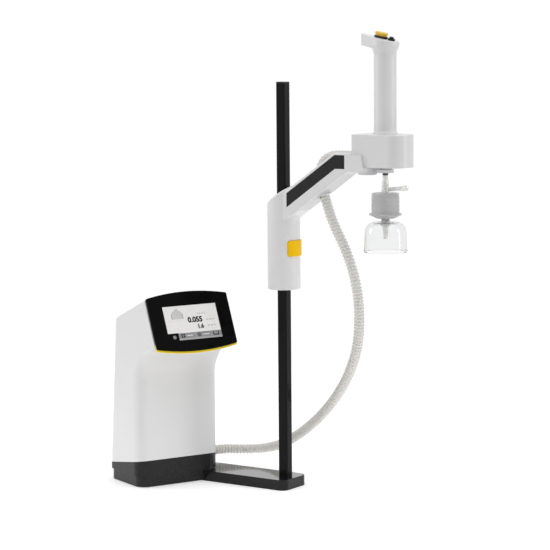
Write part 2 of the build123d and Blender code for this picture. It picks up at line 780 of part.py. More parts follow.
def make_arm_housing():
    beam = make_arm_beam()
    with BuildPart() as arm_housing:
        with BuildSketch(Plane.XY.offset(SLEEVE_BOTTOM)):
            Circle(SLEEVE_RADIUS)
        extrude(amount=200.0)
        split(bisect_by=sleeve_roof(), keep=Keep.BOTTOM)
        fillet(arm_housing.faces().sort_by(Axis.Z)[-1].edges(), 4.0)
        fillet(arm_housing.faces().sort_by(Axis.Z)[0].edges(), 1.5)
        add(beam)
        with BuildSketch(Plane.XY.offset(SLEEVE_BOTTOM)):
            Circle(SLEEVE_BORE)
        extrude(amount=BORE_TOP - SLEEVE_BOTTOM, mode=Mode.SUBTRACT)
        with BuildSketch(Plane.XY.offset(BORE_TOP - 1)):
            RectangleRounded(MAST_SIDE + 1.0, MAST_SIDE + 1.0, MAST_CORNER)
        extrude(amount=60.0, mode=Mode.SUBTRACT)
        with BuildSketch(Plane.XZ):
            with BuildLine():
                Polyline(
                    (56.0, arm_top(56.0) + 12),
                    (56.0, arm_top(56.0) - 15),
                    ((TROUGH_FLOOR + 15 - ARM_TOP_AT_MAST) / ARM_SLOPE, TROUGH_FLOOR),
                    (ARM_TIP + 1, TROUGH_FLOOR),
                    (ARM_TIP + 1, ARM_LEVEL + 12),
                    (ARM_BEND, ARM_LEVEL + 12),
                    close=True,
                )
            make_face()
        extrude(amount=TROUGH_HALF_WIDTH, both=True, mode=Mode.SUBTRACT)
        with BuildSketch(Plane.XZ):
            with BuildLine():
                Polyline(
                    (42.0, arm_under(42.0) - 2),
                    (42.0, arm_top(42.0) - 19),
                    (110.0, TROUGH_FLOOR - 4),
                    (134.0, TROUGH_FLOOR - 4),
                    (134.0, arm_under(134.0) - 2),
                    close=True,
                )
            make_face()
        extrude(amount=ARM_HALF_WIDTH - 5, both=True, mode=Mode.SUBTRACT)
        with BuildSketch(GUIDE.offset(-40)):
            Circle(12.2)
        extrude(amount=90.0, mode=Mode.SUBTRACT)
        with BuildSketch(Plane.XZ.offset(ARM_HALF_WIDTH)):
            add(panel_outline())
        extrude(amount=-PANEL_DEPTH, mode=Mode.SUBTRACT)
        with BuildSketch(Plane.XZ.offset(-ARM_HALF_WIDTH)):
            add(panel_outline())
        extrude(amount=PANEL_DEPTH, mode=Mode.SUBTRACT)
        with BuildSketch(Plane.YZ.offset(12.5)):
            with Locations((0, (BUTTON_LOW + BUTTON_HIGH) / 2)):
                window = (2 * BUTTON_HALF_WIDTH + 2 * LOOSE, BUTTON_HIGH - BUTTON_LOW + 2 * LOOSE)
                RectangleRounded(*window, 4.0)
        extrude(amount=20.0, mode=Mode.SUBTRACT)
        with BuildSketch(Plane.YZ.offset(ARM_TIP)):
            with Locations(*CRADLE_SCREW_SPOTS):
                Circle(1.7)
        extrude(amount=-14.0, mode=Mode.SUBTRACT)
    save(arm_housing.part, "arm_housing")


def make_arm_panel(name, side):
    """A thin dark inlay on one side of the arm; side is -1 for the near face and 1 for the far one."""
    with BuildPart() as arm_panel:
        with BuildSketch(Plane.XZ.offset(-side * (ARM_HALF_WIDTH - PANEL_DEPTH))) as sheet:
            add(panel_outline())
            offset(amount=-GAP, mode=Mode.REPLACE)
        extrude(amount=-side * PANEL_DEPTH)
    save(arm_panel.part, name)


def make_arm_cover():
    """The plate that closes the arm from below."""
    thick = 3.0
    with BuildPart() as arm_cover:
        with BuildSketch(Plane.XZ):
            with BuildLine():
                Polyline(
                    (42.0 + GAP, arm_under(42.0) + 0.5),
                    (42.0 + GAP, arm_under(42.0) + 0.5 + thick * 1.2),
                    (134.0 - GAP, arm_under(134.0) + 0.5 + thick * 1.2),
                    (134.0 - GAP, arm_under(134.0) + 0.5),
                    close=True,
                )
            make_face()
        extrude(amount=ARM_HALF_WIDTH - 5 - GAP, both=True)
        with BuildSketch(GUIDE.offset(-50)):
            Circle(12.2)
        extrude(amount=90.0, mode=Mode.SUBTRACT)
    save(arm_cover.part, "arm_cover")


def make_hose_guide():
    """The sleeve that leads the hose through the arm; its foot follows the arm's underside."""
    with BuildPart() as hose_guide:
        with BuildSketch(GUIDE.offset(-36.0)):
            Circle(12.0)
            Circle(HOSE_RADIUS + 0.4, mode=Mode.SUBTRACT)
        extrude(amount=47.0)
        under = Plane(origin=(0, 0, ARM_UNDER_AT_MAST - 2.0), z_dir=(-ARM_SLOPE, 0, 1))
        split(bisect_by=under, keep=Keep.TOP)
    save(hose_guide.part, "hose_guide")


def make_slide_bush(name, low):
    """A plastic ring, round outside and square inside, that runs on the mast."""
    with BuildPart() as bush:
        with BuildSketch(Plane.XY.offset(low)):
            Circle(SLEEVE_BORE - GAP)
            hole = MAST_SIDE + 2 * GAP
            RectangleRounded(hole, hole, MAST_CORNER, mode=Mode.SUBTRACT)
        extrude(amount=BUSH_HEIGHT)
    save(bush.part, name)


def make_release_button():
    middle = (BUTTON_LOW + BUTTON_HIGH) / 2
    height = BUTTON_HIGH - BUTTON_LOW
    with BuildPart() as cap:
        with BuildSketch(Plane.YZ.offset(16.0)):
            with Locations((0, middle)):
                RectangleRounded(2 * BUTTON_HALF_WIDTH, height, 4.0)
        extrude(amount=20.0)
    with BuildPart() as release_button:
        with BuildSketch(Plane.XY.offset(BUTTON_LOW)):
            Circle(BUTTON_RADIUS)
            Circle(BUTTON_RADIUS - 4.5, mode=Mode.SUBTRACT)
        extrude(amount=height)
        add(cap.part, mode=Mode.INTERSECT)
        with BuildSketch(Plane.YZ.offset(19.5)):
            with Locations((0, middle)):
                Rectangle(12, 14)
        extrude(amount=8.0)
        with BuildSketch(Plane.YZ.offset(19.5)):
            with Locations((0, middle)):
                Circle(3.3)
        extrude(amount=4.0, mode=Mode.SUBTRACT)
    save(release_button.part, "release_button")


def make_release_spring():
    middle = (BUTTON_LOW + BUTTON_HIGH) / 2
    with BuildPart() as release_spring:
        with BuildSketch(Plane.YZ.offset(12.4)):
            with Locations((0, middle)):
                Circle(3.0)
                Circle(2.2, mode=Mode.SUBTRACT)
        extrude(amount=11.0)
    save(release_spring.part, "release_spring")


def make_brake_shoe():
    middle = (BUTTON_LOW + BUTTON_HIGH) / 2
    with BuildPart() as brake_shoe:
        with BuildSketch(Plane.YZ.offset(MAST_SIDE / 2 + GAP)):
            with Locations((0, middle)):
                RectangleRounded(15, 22, 2)
        extrude(amount=3.2)
    save(brake_shoe.part, "brake_shoe")


def make_cradle():
    low, high = CRADLE_FLOOR
    outer = BLOCK_HALF_WIDTH + LOOSE + CRADLE_WALL
    wall = [(ARM_TIP, low + 1), (ARM_TIP, CRADLE_TOP), (177.0, CRADLE_TOP), (182.0, low + 1)]
    with BuildPart() as cradle:
        with BuildSketch(Plane.XY.offset(low)):
            with Locations(((ARM_TIP + CRADLE_REACH) / 2, 0)):
                RectangleRounded(CRADLE_REACH - ARM_TIP, 2 * outer, 5.0)
        extrude(amount=high - low)
        with BuildSketch(Plane.XZ.offset(outer)):
            with BuildLine():
                Polyline(*wall, close=True)
            make_face()
        extrude(amount=-CRADLE_WALL)
        with BuildSketch(Plane.XZ.offset(-outer)):
            with BuildLine():
                Polyline(*wall, close=True)
            make_face()
        extrude(amount=CRADLE_WALL)
        with BuildSketch(Plane.YZ.offset(ARM_TIP)):
            with Locations((0, (low + CRADLE_TOP) / 2)):
                Rectangle(2 * outer, CRADLE_TOP - low)
        extrude(amount=4.5)
        with BuildSketch(Plane.YZ.offset(ARM_TIP)):
            with Locations((0, TROUGH_FLOOR + 20)):
                Rectangle(2 * TROUGH_HALF_WIDTH, 40)
        extrude(amount=6.0, mode=Mode.SUBTRACT)
        with BuildSketch(Plane.YZ.offset(ARM_TIP)):
            with Locations(*CRADLE_SCREW_SPOTS):
                Circle(1.9)
        extrude(amount=6.0, mode=Mode.SUBTRACT)
        with BuildSketch(Plane.XY.offset(low)):
            with Locations((DISC_X, 0)):
                Circle(3.0)
        extrude(amount=high - low, mode=Mode.SUBTRACT)
        with BuildSketch(Plane.XY.offset(low)):
            with Locations((AXIS_X, 0)):
                Circle(18.0)
        extrude(amount=high - low, mode=Mode.SUBTRACT)
    save(cradle.part, "cradle")


def make_cradle_screws():
    with BuildPart() as cradle_screws:
        with BuildSketch(Plane.YZ.offset(ARM_TIP + 4.5)):
            with Locations(*CRADLE_SCREW_SPOTS):
                Circle(1.6)
        extrude(amount=-16.0)
    save(cradle_screws.part, "cradle_screws")


def make_cradle_disc():
    """The round foot under the cradle, with the magnet stem that seats the dispenser."""
    low, high = CRADLE_FLOOR
    with BuildPart() as cradle_disc:
        with BuildSketch(Plane.XY.offset(low)):
            with Locations((DISC_X, 0)):
                Circle(16.0)
        extrude(amount=-6.0)
        fillet(cradle_disc.faces().sort_by(Axis.Z)[0].edges(), 1.5)
        with BuildSketch(Plane.XY.offset(low)):
            with Locations((DISC_X, 0)):
                Circle(3.0 - GAP)
        extrude(amount=high - low)
    save(cradle_disc.part, "cradle_disc")


# --- Hand-held dispenser -------------------------------------------------------------------------


def block_outline(inset):
    """The block's plan: square at the rear and round at the nose."""
    middle = (BLOCK_REAR + BLOCK_FRONT) / 2
    with BuildSketch() as plan:
        with Locations((middle, 0)):
            Rectangle(BLOCK_FRONT - BLOCK_REAR - 2 * inset, 2 * (BLOCK_HALF_WIDTH - inset))
        fillet(plan.vertices().group_by(Axis.X)[-1], BLOCK_NOSE - inset)
        fillet(plan.vertices().group_by(Axis.X)[0], max(3.5 - inset, 0.8))
    return plan.sketch


def make_dispenser_block():
    with BuildPart() as dispenser_block:
        with BuildSketch(Plane.XY.offset(BLOCK_BOTTOM)):
            add(block_outline(0))
        extrude(amount=BLOCK_TOP - BLOCK_BOTTOM)
        fillet(dispenser_block.faces().sort_by(Axis.Z)[-1].edges(), 1.5)
        with BuildSketch(Plane.XY.offset(BLOCK_BOTTOM)):
            add(block_outline(2.5))
        extrude(amount=BLOCK_TOP - BLOCK_BOTTOM - 3.0, mode=Mode.SUBTRACT)
        with BuildSketch(Plane.XY.offset(BLOCK_TOP - 4)):
            with Locations((AXIS_X, 0)):
                Circle(15.0)
        extrude(amount=6.0, mode=Mode.SUBTRACT)
        with BuildSketch(Plane.YZ.offset(BLOCK_REAR - 1)):
            with Locations((0, HOSE_Z)):
                Circle(8.0 + GAP)
        extrude(amount=6.0, mode=Mode.SUBTRACT)
    save(dispenser_block.part, "dispenser_block")


def make_block_floor():
    with BuildPart() as block_floor:
        with BuildSketch(Plane.XY.offset(BLOCK_BOTTOM)):
            add(block_outline(2.5 + GAP))
        extrude(amount=2.5)
        with BuildSketch(Plane.XY.offset(BLOCK_BOTTOM)):
            with Locations((AXIS_X, 0)):
                Circle(8.0)
        extrude(amount=2.5, mode=Mode.SUBTRACT)
        with BuildSketch(Plane.XY.offset(BLOCK_BOTTOM)):
            with Locations(*FLOOR_SCREW_SPOTS):
                Circle(1.5)
        extrude(amount=2.5, mode=Mode.SUBTRACT)
    save(block_floor.part, "block_floor")


def make_floor_screws():
    with BuildPart() as floor_screws:
        with BuildSketch(Plane.XY.offset(BLOCK_BOTTOM - 0.1)):
            with Locations(*FLOOR_SCREW_SPOTS):
                Circle(1.4)
        extrude(amount=12.0)
    save(floor_screws.part, "floor_screws")


def make_hose_cuff():
    """The block's rear spigot, which the hose ends against."""
    with BuildPart() as hose_cuff:
        with BuildSketch(Plane.YZ.offset(BLOCK_REAR)):
            with Locations((0, HOSE_Z)):
                Circle(10.3)
                Circle(6.0, mode=Mode.SUBTRACT)
        extrude(amount=-CUFF_REACH)
        with BuildSketch(Plane.YZ.offset(BLOCK_REAR)):
            with Locations((0, HOSE_Z)):
                Circle(8.0)
                Circle(6.0, mode=Mode.SUBTRACT)
        extrude(amount=12.0)
    save(hose_cuff.part, "hose_cuff")


def make_hand_grip():
    with BuildPart() as hand_grip:
        with BuildSketch(Plane.XZ):
            with BuildLine():
                Polyline(
                    (AXIS_X + 16.0, BLOCK_TOP),
                    (AXIS_X + GRIP_RADIUS + 1.6, BLOCK_TOP),
                    (AXIS_X + GRIP_RADIUS + 1.6, BLOCK_TOP + 2.0),
                    (AXIS_X + GRIP_RADIUS, BLOCK_TOP + 5.5),
                    (AXIS_X + GRIP_RADIUS, GRIP_TOP),
                    (AXIS_X + 16.0, GRIP_TOP),
                    close=True,
                )
            make_face()
        revolve(axis=Axis((AXIS_X, 0, 0), (0, 0, 1)))
    save(hand_grip.part, "hand_grip")


def head_outline(inset):
    """The head's plan: a round back with a beak towards the mast."""
    reach = AXIS_X - BEAK_X
    back, tip = HEAD_RADIUS - inset, BEAK_RADIUS - inset
    lean = asin((back - tip) / reach)
    back_x, back_y = AXIS_X - back * sin(lean), back * cos(lean)
    tip_x, tip_y = BEAK_X - tip * sin(lean), tip * cos(lean)
    with BuildSketch() as outline:
        with BuildLine():
            ThreePointArc((back_x, -back_y), (AXIS_X + back, 0), (back_x, back_y))
            Line((back_x, back_y), (tip_x, tip_y))
            ThreePointArc((tip_x, tip_y), (BEAK_X - tip, 0), (tip_x, -tip_y))
            Line((tip_x, -tip_y), (back_x, -back_y))
        make_face()
    return outline.sketch


def head_roof():
    """The head's sloping top."""
    return Plane(origin=(AXIS_X, 0, HEAD_TOP_AT_AXIS), x_dir=(0, 1, 0), z_dir=(HEAD_SLOPE, 0, 1))


def make_grip_head():
    with BuildPart() as grip_head:
        with BuildSketch(axis_plane()):
            with BuildLine():
                bend = (GRIP_RADIUS + 0.7, GRIP_TOP + 0.58 * (NECK_TOP - GRIP_TOP))
                Line((0, GRIP_TOP), (GRIP_RADIUS, GRIP_TOP))
                ThreePointArc((GRIP_RADIUS, GRIP_TOP), bend, (NECK_RADIUS, NECK_TOP))
                Line((NECK_RADIUS, NECK_TOP), (0, NECK_TOP))
                Line((0, NECK_TOP), (0, GRIP_TOP))
            make_face()
        revolve(axis=Axis((AXIS_X, 0, 0), (0, 0, 1)))
        with BuildSketch(Plane.XY.offset(NECK_TOP)):
            with Locations((AXIS_X, 0)):
                Circle(NECK_RADIUS)
        with BuildSketch(Plane.XY.offset(HEAD_LOW)):
            add(head_outline(0))
        loft()
        with BuildSketch(Plane.XY.offset(HEAD_LOW)):
            add(head_outline(0))
        extrude(amount=40.0)
        split(bisect_by=head_roof(), keep=Keep.BOTTOM)
        fillet(grip_head.faces().sort_by(Axis.Z)[-1].edges(), 1.5)
        with BuildSketch(Plane.XY.offset(GRIP_TOP)):
            with Locations((AXIS_X, 0)):
                Circle(15.5)
        extrude(amount=18.0, mode=Mode.SUBTRACT)
        with BuildSketch(head_roof()):
            with Locations(BUTTON_SPOT):
                SlotCenterToCenter(8.0, 14.0, rotation=90)
        extrude(amount=-9.0, mode=Mode.SUBTRACT)
        with BuildSketch(head_roof()):
            with Locations(MODE_SPOT):
                Circle(5.2)
        extrude(amount=-9.0, mode=Mode.SUBTRACT)
    save(grip_head.part, "grip_head")


def make_button_seat():
    """The black ring round the yellow dispense button."""
    with BuildPart() as button_seat:
        with BuildSketch(head_roof()):
            with Locations(BUTTON_SPOT):
                SlotCenterToCenter(8.0, 15.6, rotation=90)
                SlotCenterToCenter(8.0, 12.6, rotation=90, mode=Mode.SUBTRACT)
        extrude(amount=SEAT_HEIGHT)
        with BuildSketch(head_roof()):
            with Locations(BUTTON_SPOT):
                SlotCenterToCenter(8.0, 13.8, rotation=90)
                SlotCenterToCenter(8.0, 12.6, rotation=90, mode=Mode.SUBTRACT)
        extrude(amount=-7.0)
    save(button_seat.part, "button_seat")


def make_dispense_button():
    with BuildPart() as dispense_button:
        with BuildSketch(head_roof().offset(-4.5)):
            with Locations(BUTTON_SPOT):
                SlotCenterToCenter(8.0, 12.0, rotation=90)
        extrude(amount=4.5 + SEAT_HEIGHT + KEY_LIFT)
        with BuildSketch(head_roof().offset(SEAT_HEIGHT + KEY_LIFT)):
            with Locations(BUTTON_SPOT):
                SlotCenterToCenter(8.0, 14.6, rotation=90)
        extrude(amount=4.2)
        fillet(dispense_button.faces().sort_by(Axis.Z)[-1].edges(), 1.2)
    save(dispense_button.part, "dispense_button")


def make_mode_collar():
    with BuildPart() as mode_collar:
        with BuildSketch(head_roof()):
            with Locations(MODE_SPOT):
                Circle(6.0)
                Circle(3.9, mode=Mode.SUBTRACT)
        extrude(amount=SEAT_HEIGHT)
        with BuildSketch(head_roof()):
            with Locations(MODE_SPOT):
                Circle(5.1)
                Circle(3.9, mode=Mode.SUBTRACT)
        extrude(amount=-7.0)
    save(mode_collar.part, "mode_collar")


def make_mode_button():
    with BuildPart() as mode_button:
        with BuildSketch(head_roof().offset(-4.5)):
            with Locations(MODE_SPOT):
                Circle(3.6)
        extrude(amount=4.5 + SEAT_HEIGHT + 2.6)
        fillet(mode_button.faces().sort_by(Axis.Z)[-1].edges(), 0.8)
    save(mode_button.part, "mode_button")


def make_dispense_valve():
    """The solenoid valve above the outlet."""
    with BuildPart() as dispense_valve:
        with BuildSketch(Plane.XY.offset(BLOCK_BOTTOM + 2.5)):
            with Locations((AXIS_X, 0)):
                RectangleRounded(26, 24, 3)
        extrude(amount=22.0)
        with BuildSketch(Plane.XY.offset(BLOCK_BOTTOM + 24.5)):
            with Locations((AXIS_X, 0)):
                Circle(10.5)
        extrude(amount=22.0)
        with BuildSketch(Plane.XY.offset(BLOCK_BOTTOM + 2.5)):
            with Locations((AXIS_X, 0)):
                Circle(2.5)
        extrude(amount=12.0, mode=Mode.SUBTRACT)
    save(dispense_valve.part, "dispense_valve")


def make_inner_tube():
    """The straight tube from the hose to the valve."""
    with BuildPart() as inner_tube:
        with BuildSketch(Plane.YZ.offset(BLOCK_REAR - 6)):
            with Locations((0, HOSE_Z)):
                Circle(4.0)
                Circle(2.5, mode=Mode.SUBTRACT)
        extrude(amount=AXIS_X - 13 - BLOCK_REAR + 6)
    save(inner_tube.part, "inner_tube")


def axis_plane():
    """A plane of radius and height through the dispenser's vertical axis."""
    return Plane(origin=(AXIS_X, 0, 0), x_dir=(1, 0, 0), z_dir=(0, -1, 0))


def make_turned(name, *outline):
    """A piece turned about the dispenser's axis; its outline is a list of (radius, height)."""
    with BuildPart() as turned:
        with BuildSketch(axis_plane()):
            with BuildLine():
                Polyline(*outline, close=True)
            make_face()
        revolve(axis=Axis((AXIS_X, 0, 0), (0, 0, 1)))
    save(turned.part, name)


def make_outlet_pieces():
    radius, low = COLLAR
    floor = BLOCK_BOTTOM
    make_turned(
        "outlet_collar",
        (2.5, low), (radius, low), (radius, low + 5), (7.8, low + 7), (7.8, floor + 2.4), (2.5, floor + 2.4),
    )
    make_turned(
        "outlet_seal",
        (2.0, low), (4.7, low), (4.7, STEM_TOP + 0.8), (4.3, STEM_TOP), (2.0, STEM_TOP),
    )
    make_turned(
        "filter_stem",
        (1.8, STEM_TOP), (4.4, STEM_TOP), (5.2, 534), (6.0, 527), (6.8, FILTER_TOP), (1.8, FILTER_TOP),
    )


def make_filter_cap():
    radius = FILTER_RADIUS
    with BuildPart() as filter_cap:
        with BuildSketch(axis_plane()):
            with BuildLine():
                Polyline(
                    (3.0, FILTER_TOP), (radius - 2.5, FILTER_TOP), (radius, FILTER_TOP - 2.0),
                    (radius, FILTER_TOP - CAP_SKIRT), (radius - 2.0, FILTER_TOP - CAP_SKIRT),
                    (radius - 2.0, FILTER_TOP - 2.5), (3.0, FILTER_TOP - 2.5), close=True,
                )
            make_face()
        revolve(axis=Axis((AXIS_X, 0, 0), (0, 0, 1)))
    save(filter_cap.part, "filter_cap")


def vent_plane():
    """The vent stub's axis, which leaves the filter's neck outwards and a little upwards."""
    rise = radians(VENT_TILT)
    return Plane(
        origin=(AXIS_X + 7.0, 0, 520.0), x_dir=(0, 1, 0), z_dir=(cos(rise), 0, sin(rise))
    )


def make_filter_vent():
    with BuildPart() as filter_vent:
        with BuildSketch(vent_plane()):
            Circle(3.6)
            Circle(1.5, mode=Mode.SUBTRACT)
        extrude(amount=VENT_LENGTH)
    save(filter_vent.part, "filter_vent")


def make_vent_cap():
    with BuildPart() as vent_cap:
        with BuildSketch(vent_plane().offset(VENT_LENGTH + LOOSE)):
            Circle(4.6)
        extrude(amount=VENT_CAP)
        with BuildSketch(vent_plane().offset(VENT_LENGTH + LOOSE)):
            with PolarLocations(5.0, 10):
                Circle(0.8)
        extrude(amount=VENT_CAP, mode=Mode.SUBTRACT)
    save(vent_cap.part, "vent_cap")


def make_filter_body():
    radius, wall = FILTER_RADIUS - 1.0, 1.8
    top, foot = FILTER_TOP - CAP_SKIRT - 0.2, FILTER_BOTTOM
    make_turned(
        "filter_body",
        (radius, top), (radius, foot + 7.5), (radius + 4.8, foot + 6.0), (radius + 4.8, foot + 3.2),
        (radius + 1.0, foot + 1.6), (15.0, foot - 2.0), (6.8, foot - 3.2), (6.8, foot - 7.5),
        (3.2, foot - 7.5), (3.2, foot - 0.8), (radius - wall, foot + 4.5), (radius - wall, top),
    )
    core = radius - wall - 2.0
    make_turned("filter_core", (4.0, top - 1), (core, top - 1), (core, foot + 6.5), (4.0, foot + 6.5))


def bell_profile(inset):
    """The bell's edge from its throat to its rim: a domed shoulder over a nearly straight wall."""
    shoulder, corner = BELL_RADIUS - 1.6 - inset, BELL_TOP - BELL_DOME
    return [
        (BELL_THROAT + 5.0, BELL_TOP - inset),
        (shoulder - 0.32 * BELL_DOME, corner + 0.66 * BELL_DOME - 0.7 * inset),
        (shoulder, corner),
        (BELL_RADIUS - inset, BELL_BOTTOM),
    ]


def make_filling_bell():
    outside = bell_profile(0)
    inside = bell_profile(BELL_WALL)
    with BuildPart() as filling_bell:
        with BuildSketch(axis_plane()):
            with BuildLine():
                Line((BELL_THROAT, BELL_TOP), outside[0])
                ThreePointArc(outside[0], outside[1], outside[2])
                Line(outside[2], outside[3])
                Line(outside[3], inside[3])
                Line(inside[3], inside[2])
                ThreePointArc(inside[2], inside[1], inside[0])
                Line(inside[0], (BELL_THROAT, BELL_TOP - BELL_WALL))
                Line((BELL_THROAT, BELL_TOP - BELL_WALL), (BELL_THROAT, BELL_TOP))
            make_face()
        revolve(axis=Axis((AXIS_X, 0, 0), (0, 0, 1)))
    save(filling_bell.part, "filling_bell")


def make_outlet_tube():
    top = FILTER_BOTTOM - 7.6
    make_turned(
        "outlet_tube",
        (2.2, top), (8.2, top), (8.2, BELL_TOP - BELL_WALL - 3.5), (5.0, BELL_TOP - BELL_WALL - 5),
        (4.6, 455), (4.3, 437.5), (2.2, 437.5),
    )


# --- Hose ----------------------------------------------------------------------------------------


def corner_radii(points):
    """For each corner, the largest arc that its two runs leave room for."""
    radii = []
    for before, here, after in zip(points, points[1:], points[2:]):
        arriving, leaving = here - before, after - here
        half_turn = radians(arriving.get_angle(leaving)) / 2
        radii.append(0.45 * min(arriving.length, leaving.length) / tan(half_turn))
    return radii


def make_hose(name, points):
    """A round tube along straight runs joined by arcs."""
    points = [Vector(*p) for p in points]
    radii = corner_radii(points)
    print(name, "radii", [round(r) for r in radii])
    with BuildPart() as hose:
        with BuildLine() as route:
            FilletPolyline(*points, radius=radii)
        with BuildSketch(Plane(origin=points[0], z_dir=points[1] - points[0])) as section:
            Circle(HOSE_RADIUS)
        sweep()
    length = route.wires()[0].length
    expected = section.sketch.area * length
    print(name, "length", round(length, 1), "volume ratio", round(hose.part.volume / expected, 4))
    save(hose.part, name)


def make_hoses():
    start = unit_point(UNIT_WIDTH / 2 + GLAND_REACH, GLAND_Y, GLAND_Z)
    leaves = start + unit_direction(1, 0, 0) * HOSE_LEAD_OUT
    middle = Vector(*HOSE_SPLIT)
    enters = middle - GUIDE_AXIS * HOSE_LEAD_IN
    rises = middle + GUIDE_AXIS * HOSE_LEAD_UP
    end = (BLOCK_REAR - CUFF_REACH, 0, HOSE_Z)
    lower = [tuple(start), tuple(leaves), *HOSE_LOWER, tuple(enters), HOSE_SPLIT]
    upper = [HOSE_SPLIT, tuple(rises), *HOSE_UPPER, end]
    for name, points in (("hose_lower", lower), ("hose_upper", upper)):
        print(name, [tuple(round(c, 1) for c in p) for p in points])
        make_hose(name, points)


def main():
    make_foot_bar()
    make_foot_pads()
    make_bar_screws()
    make_mast()
    make_mast_cap()
    make_mast_grub_screw()
    make_unit_shell()
    make_unit_base()
    make_base_feet()
    make_shell_screws()
    make_display_trim()
    make_display_bezel()
    make_display_screen()
    make_home_key()
    make_control_board()
    make_water_manifold()
    make_inlet_valve()
    make_rear_panel()
    for port in REAR_PORTS:
        make_water_port(port)
    make_socket("power_socket", SOCKET_SPOT, (22.0, 16.0), (17.0, 11.0))
    make_socket("data_socket", DATA_SPOT, (16.0, 14.0), (12.0, 9.0))
    make_hose_gland()
    make_arm_housing()
    make_arm_panel("arm_panel_near", -1)
    make_arm_panel("arm_panel_far", 1)
    make_arm_cover()
    make_hose_guide()
    make_slide_bush("bush_lower", SLEEVE_BOTTOM + 1.0)
    make_slide_bush("bush_upper", BORE_TOP - 0.5 - BUSH_HEIGHT)
    make_release_button()
    make_release_spring()
    make_brake_shoe()
    make_cradle()
    make_cradle_screws()
    make_cradle_disc()
    make_dispenser_block()
    make_block_floor()
    make_floor_screws()
    make_hose_cuff()
    make_hand_grip()
    make_grip_head()
    make_button_seat()
    make_dispense_button()
    make_mode_collar()
    make_mode_button()
    make_dispense_valve()
    make_inner_tube()
    make_outlet_pieces()
    make_filter_cap()
    make_filter_vent()
    make_vent_cap()
    make_filter_body()
    make_filling_bell()
    make_outlet_tube()
    make_hoses()


main()
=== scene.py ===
"""Looks for a laboratory water dispensing station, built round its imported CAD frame.

Lengths are in metres, except on the display's face, where they are in millimetres.
"""
import json
import math

import bmesh
import bpy
from mathutils import Matrix, Vector


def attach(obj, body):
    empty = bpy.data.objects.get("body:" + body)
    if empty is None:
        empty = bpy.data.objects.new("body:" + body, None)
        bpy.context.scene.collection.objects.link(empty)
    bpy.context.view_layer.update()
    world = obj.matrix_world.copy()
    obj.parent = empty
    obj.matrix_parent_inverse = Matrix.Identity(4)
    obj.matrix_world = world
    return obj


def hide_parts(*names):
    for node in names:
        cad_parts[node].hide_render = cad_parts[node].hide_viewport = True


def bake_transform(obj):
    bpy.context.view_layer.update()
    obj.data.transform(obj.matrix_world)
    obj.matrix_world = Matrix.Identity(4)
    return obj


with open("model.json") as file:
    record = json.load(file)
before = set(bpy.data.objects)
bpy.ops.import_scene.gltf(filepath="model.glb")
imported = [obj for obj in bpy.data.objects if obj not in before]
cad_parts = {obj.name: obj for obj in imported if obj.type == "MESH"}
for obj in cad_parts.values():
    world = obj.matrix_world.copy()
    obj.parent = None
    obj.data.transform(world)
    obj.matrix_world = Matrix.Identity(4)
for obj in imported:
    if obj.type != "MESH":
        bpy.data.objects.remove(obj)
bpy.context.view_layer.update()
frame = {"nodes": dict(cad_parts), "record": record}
nodes = frame["nodes"]
scene = bpy.context.scene
UP = Vector((0, 0, 1))


# --- Camera --------------------------------------------------------------------------------------

# Angles in degrees: round the mast, down, rolled, and turned aside from the mast.
AZIMUTH, PITCH, ROLL, ASIDE = (math.radians(a) for a in (34.02, 6.81, -0.45, 0.229))
CAMERA_DISTANCE = 3.9
CAMERA_HEIGHT = 0.831
LENS = 150.5
SENSOR_WIDTH = 36.0
FAR_CLIP = 60.0


def make_camera():
    """The view from 34 degrees round and a little above the grip, looking slightly down."""
    outward = Vector((math.sin(AZIMUTH), -math.cos(AZIMUTH), 0))
    place = outward * CAMERA_DISTANCE + UP * CAMERA_HEIGHT
    level = Vector((-math.sin(AZIMUTH + ASIDE), math.cos(AZIMUTH + ASIDE), 0))
    forward = level * math.cos(PITCH) - UP * math.sin(PITCH)
    right = forward.cross(UP).normalized()
    above = right.cross(forward)
    side = right * math.cos(ROLL) + above * math.sin(ROLL)
    top = above * math.cos(ROLL) - right * math.sin(ROLL)
    camera = bpy.data.objects.new("camera", bpy.data.cameras.new("camera"))
    camera.data.sensor_width = SENSOR_WIDTH
    camera.data.lens = LENS
    camera.data.clip_end = FAR_CLIP
    turn = Matrix((side, top, -forward)).transposed().to_4x4()
    camera.matrix_world = Matrix.Translation(place) @ turn
    scene.collection.objects.link(camera)
    scene.camera = camera


make_camera()


# --- Mesh helpers --------------------------------------------------------------------------------

def face_outwards(mesh):
    """Turns every face of a closed mesh outwards."""
    work = bmesh.new()
    work.from_mesh(mesh)
    bmesh.ops.recalc_face_normals(work, faces=work.faces)
    work.to_mesh(mesh)
    work.free()


def mesh_piece(name, verts, faces, material, body, smooth=True):
    """A new mesh in the row frame that rides on a body."""
    mesh = bpy.data.meshes.new(name)
    mesh.from_pydata([tuple(v) for v in verts], [], faces)
    mesh.update()
    if smooth:
        mesh.polygons.foreach_set("use_smooth", [True] * len(mesh.polygons))
        face_outwards(mesh)
    mesh.materials.append(material)
    piece = bpy.data.objects.new(name, mesh)
    scene.collection.objects.link(piece)
    if body:
        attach(piece, body)
    return piece


def turned_mesh(outline, centre, axis, steps, closed=False, flute=None):
    """An outline of (radius, height) points turned about an axis; flute(angle, height) scales the radius.

    A closed outline joins its last point to its first, which makes a hollow body.
    """
    axis = Vector(axis).normalized()
    across = axis.orthogonal().normalized()
    along = axis.cross(across)
    verts, faces = [], []
    rows = len(outline)
    for i in range(steps):
        angle = 2 * math.pi * i / steps
        way = across * math.cos(angle) + along * math.sin(angle)
        for radius, height in outline:
            reach = radius * (flute(angle, height) if flute else 1.0)
            verts.append(Vector(centre) + way * reach + axis * height)
    for i in range(steps):
        j = (i + 1) % steps
        for k in range(rows if closed else rows - 1):
            m = (k + 1) % rows
            faces.append((i * rows + k, j * rows + k, j * rows + m, i * rows + m))
    return verts, faces


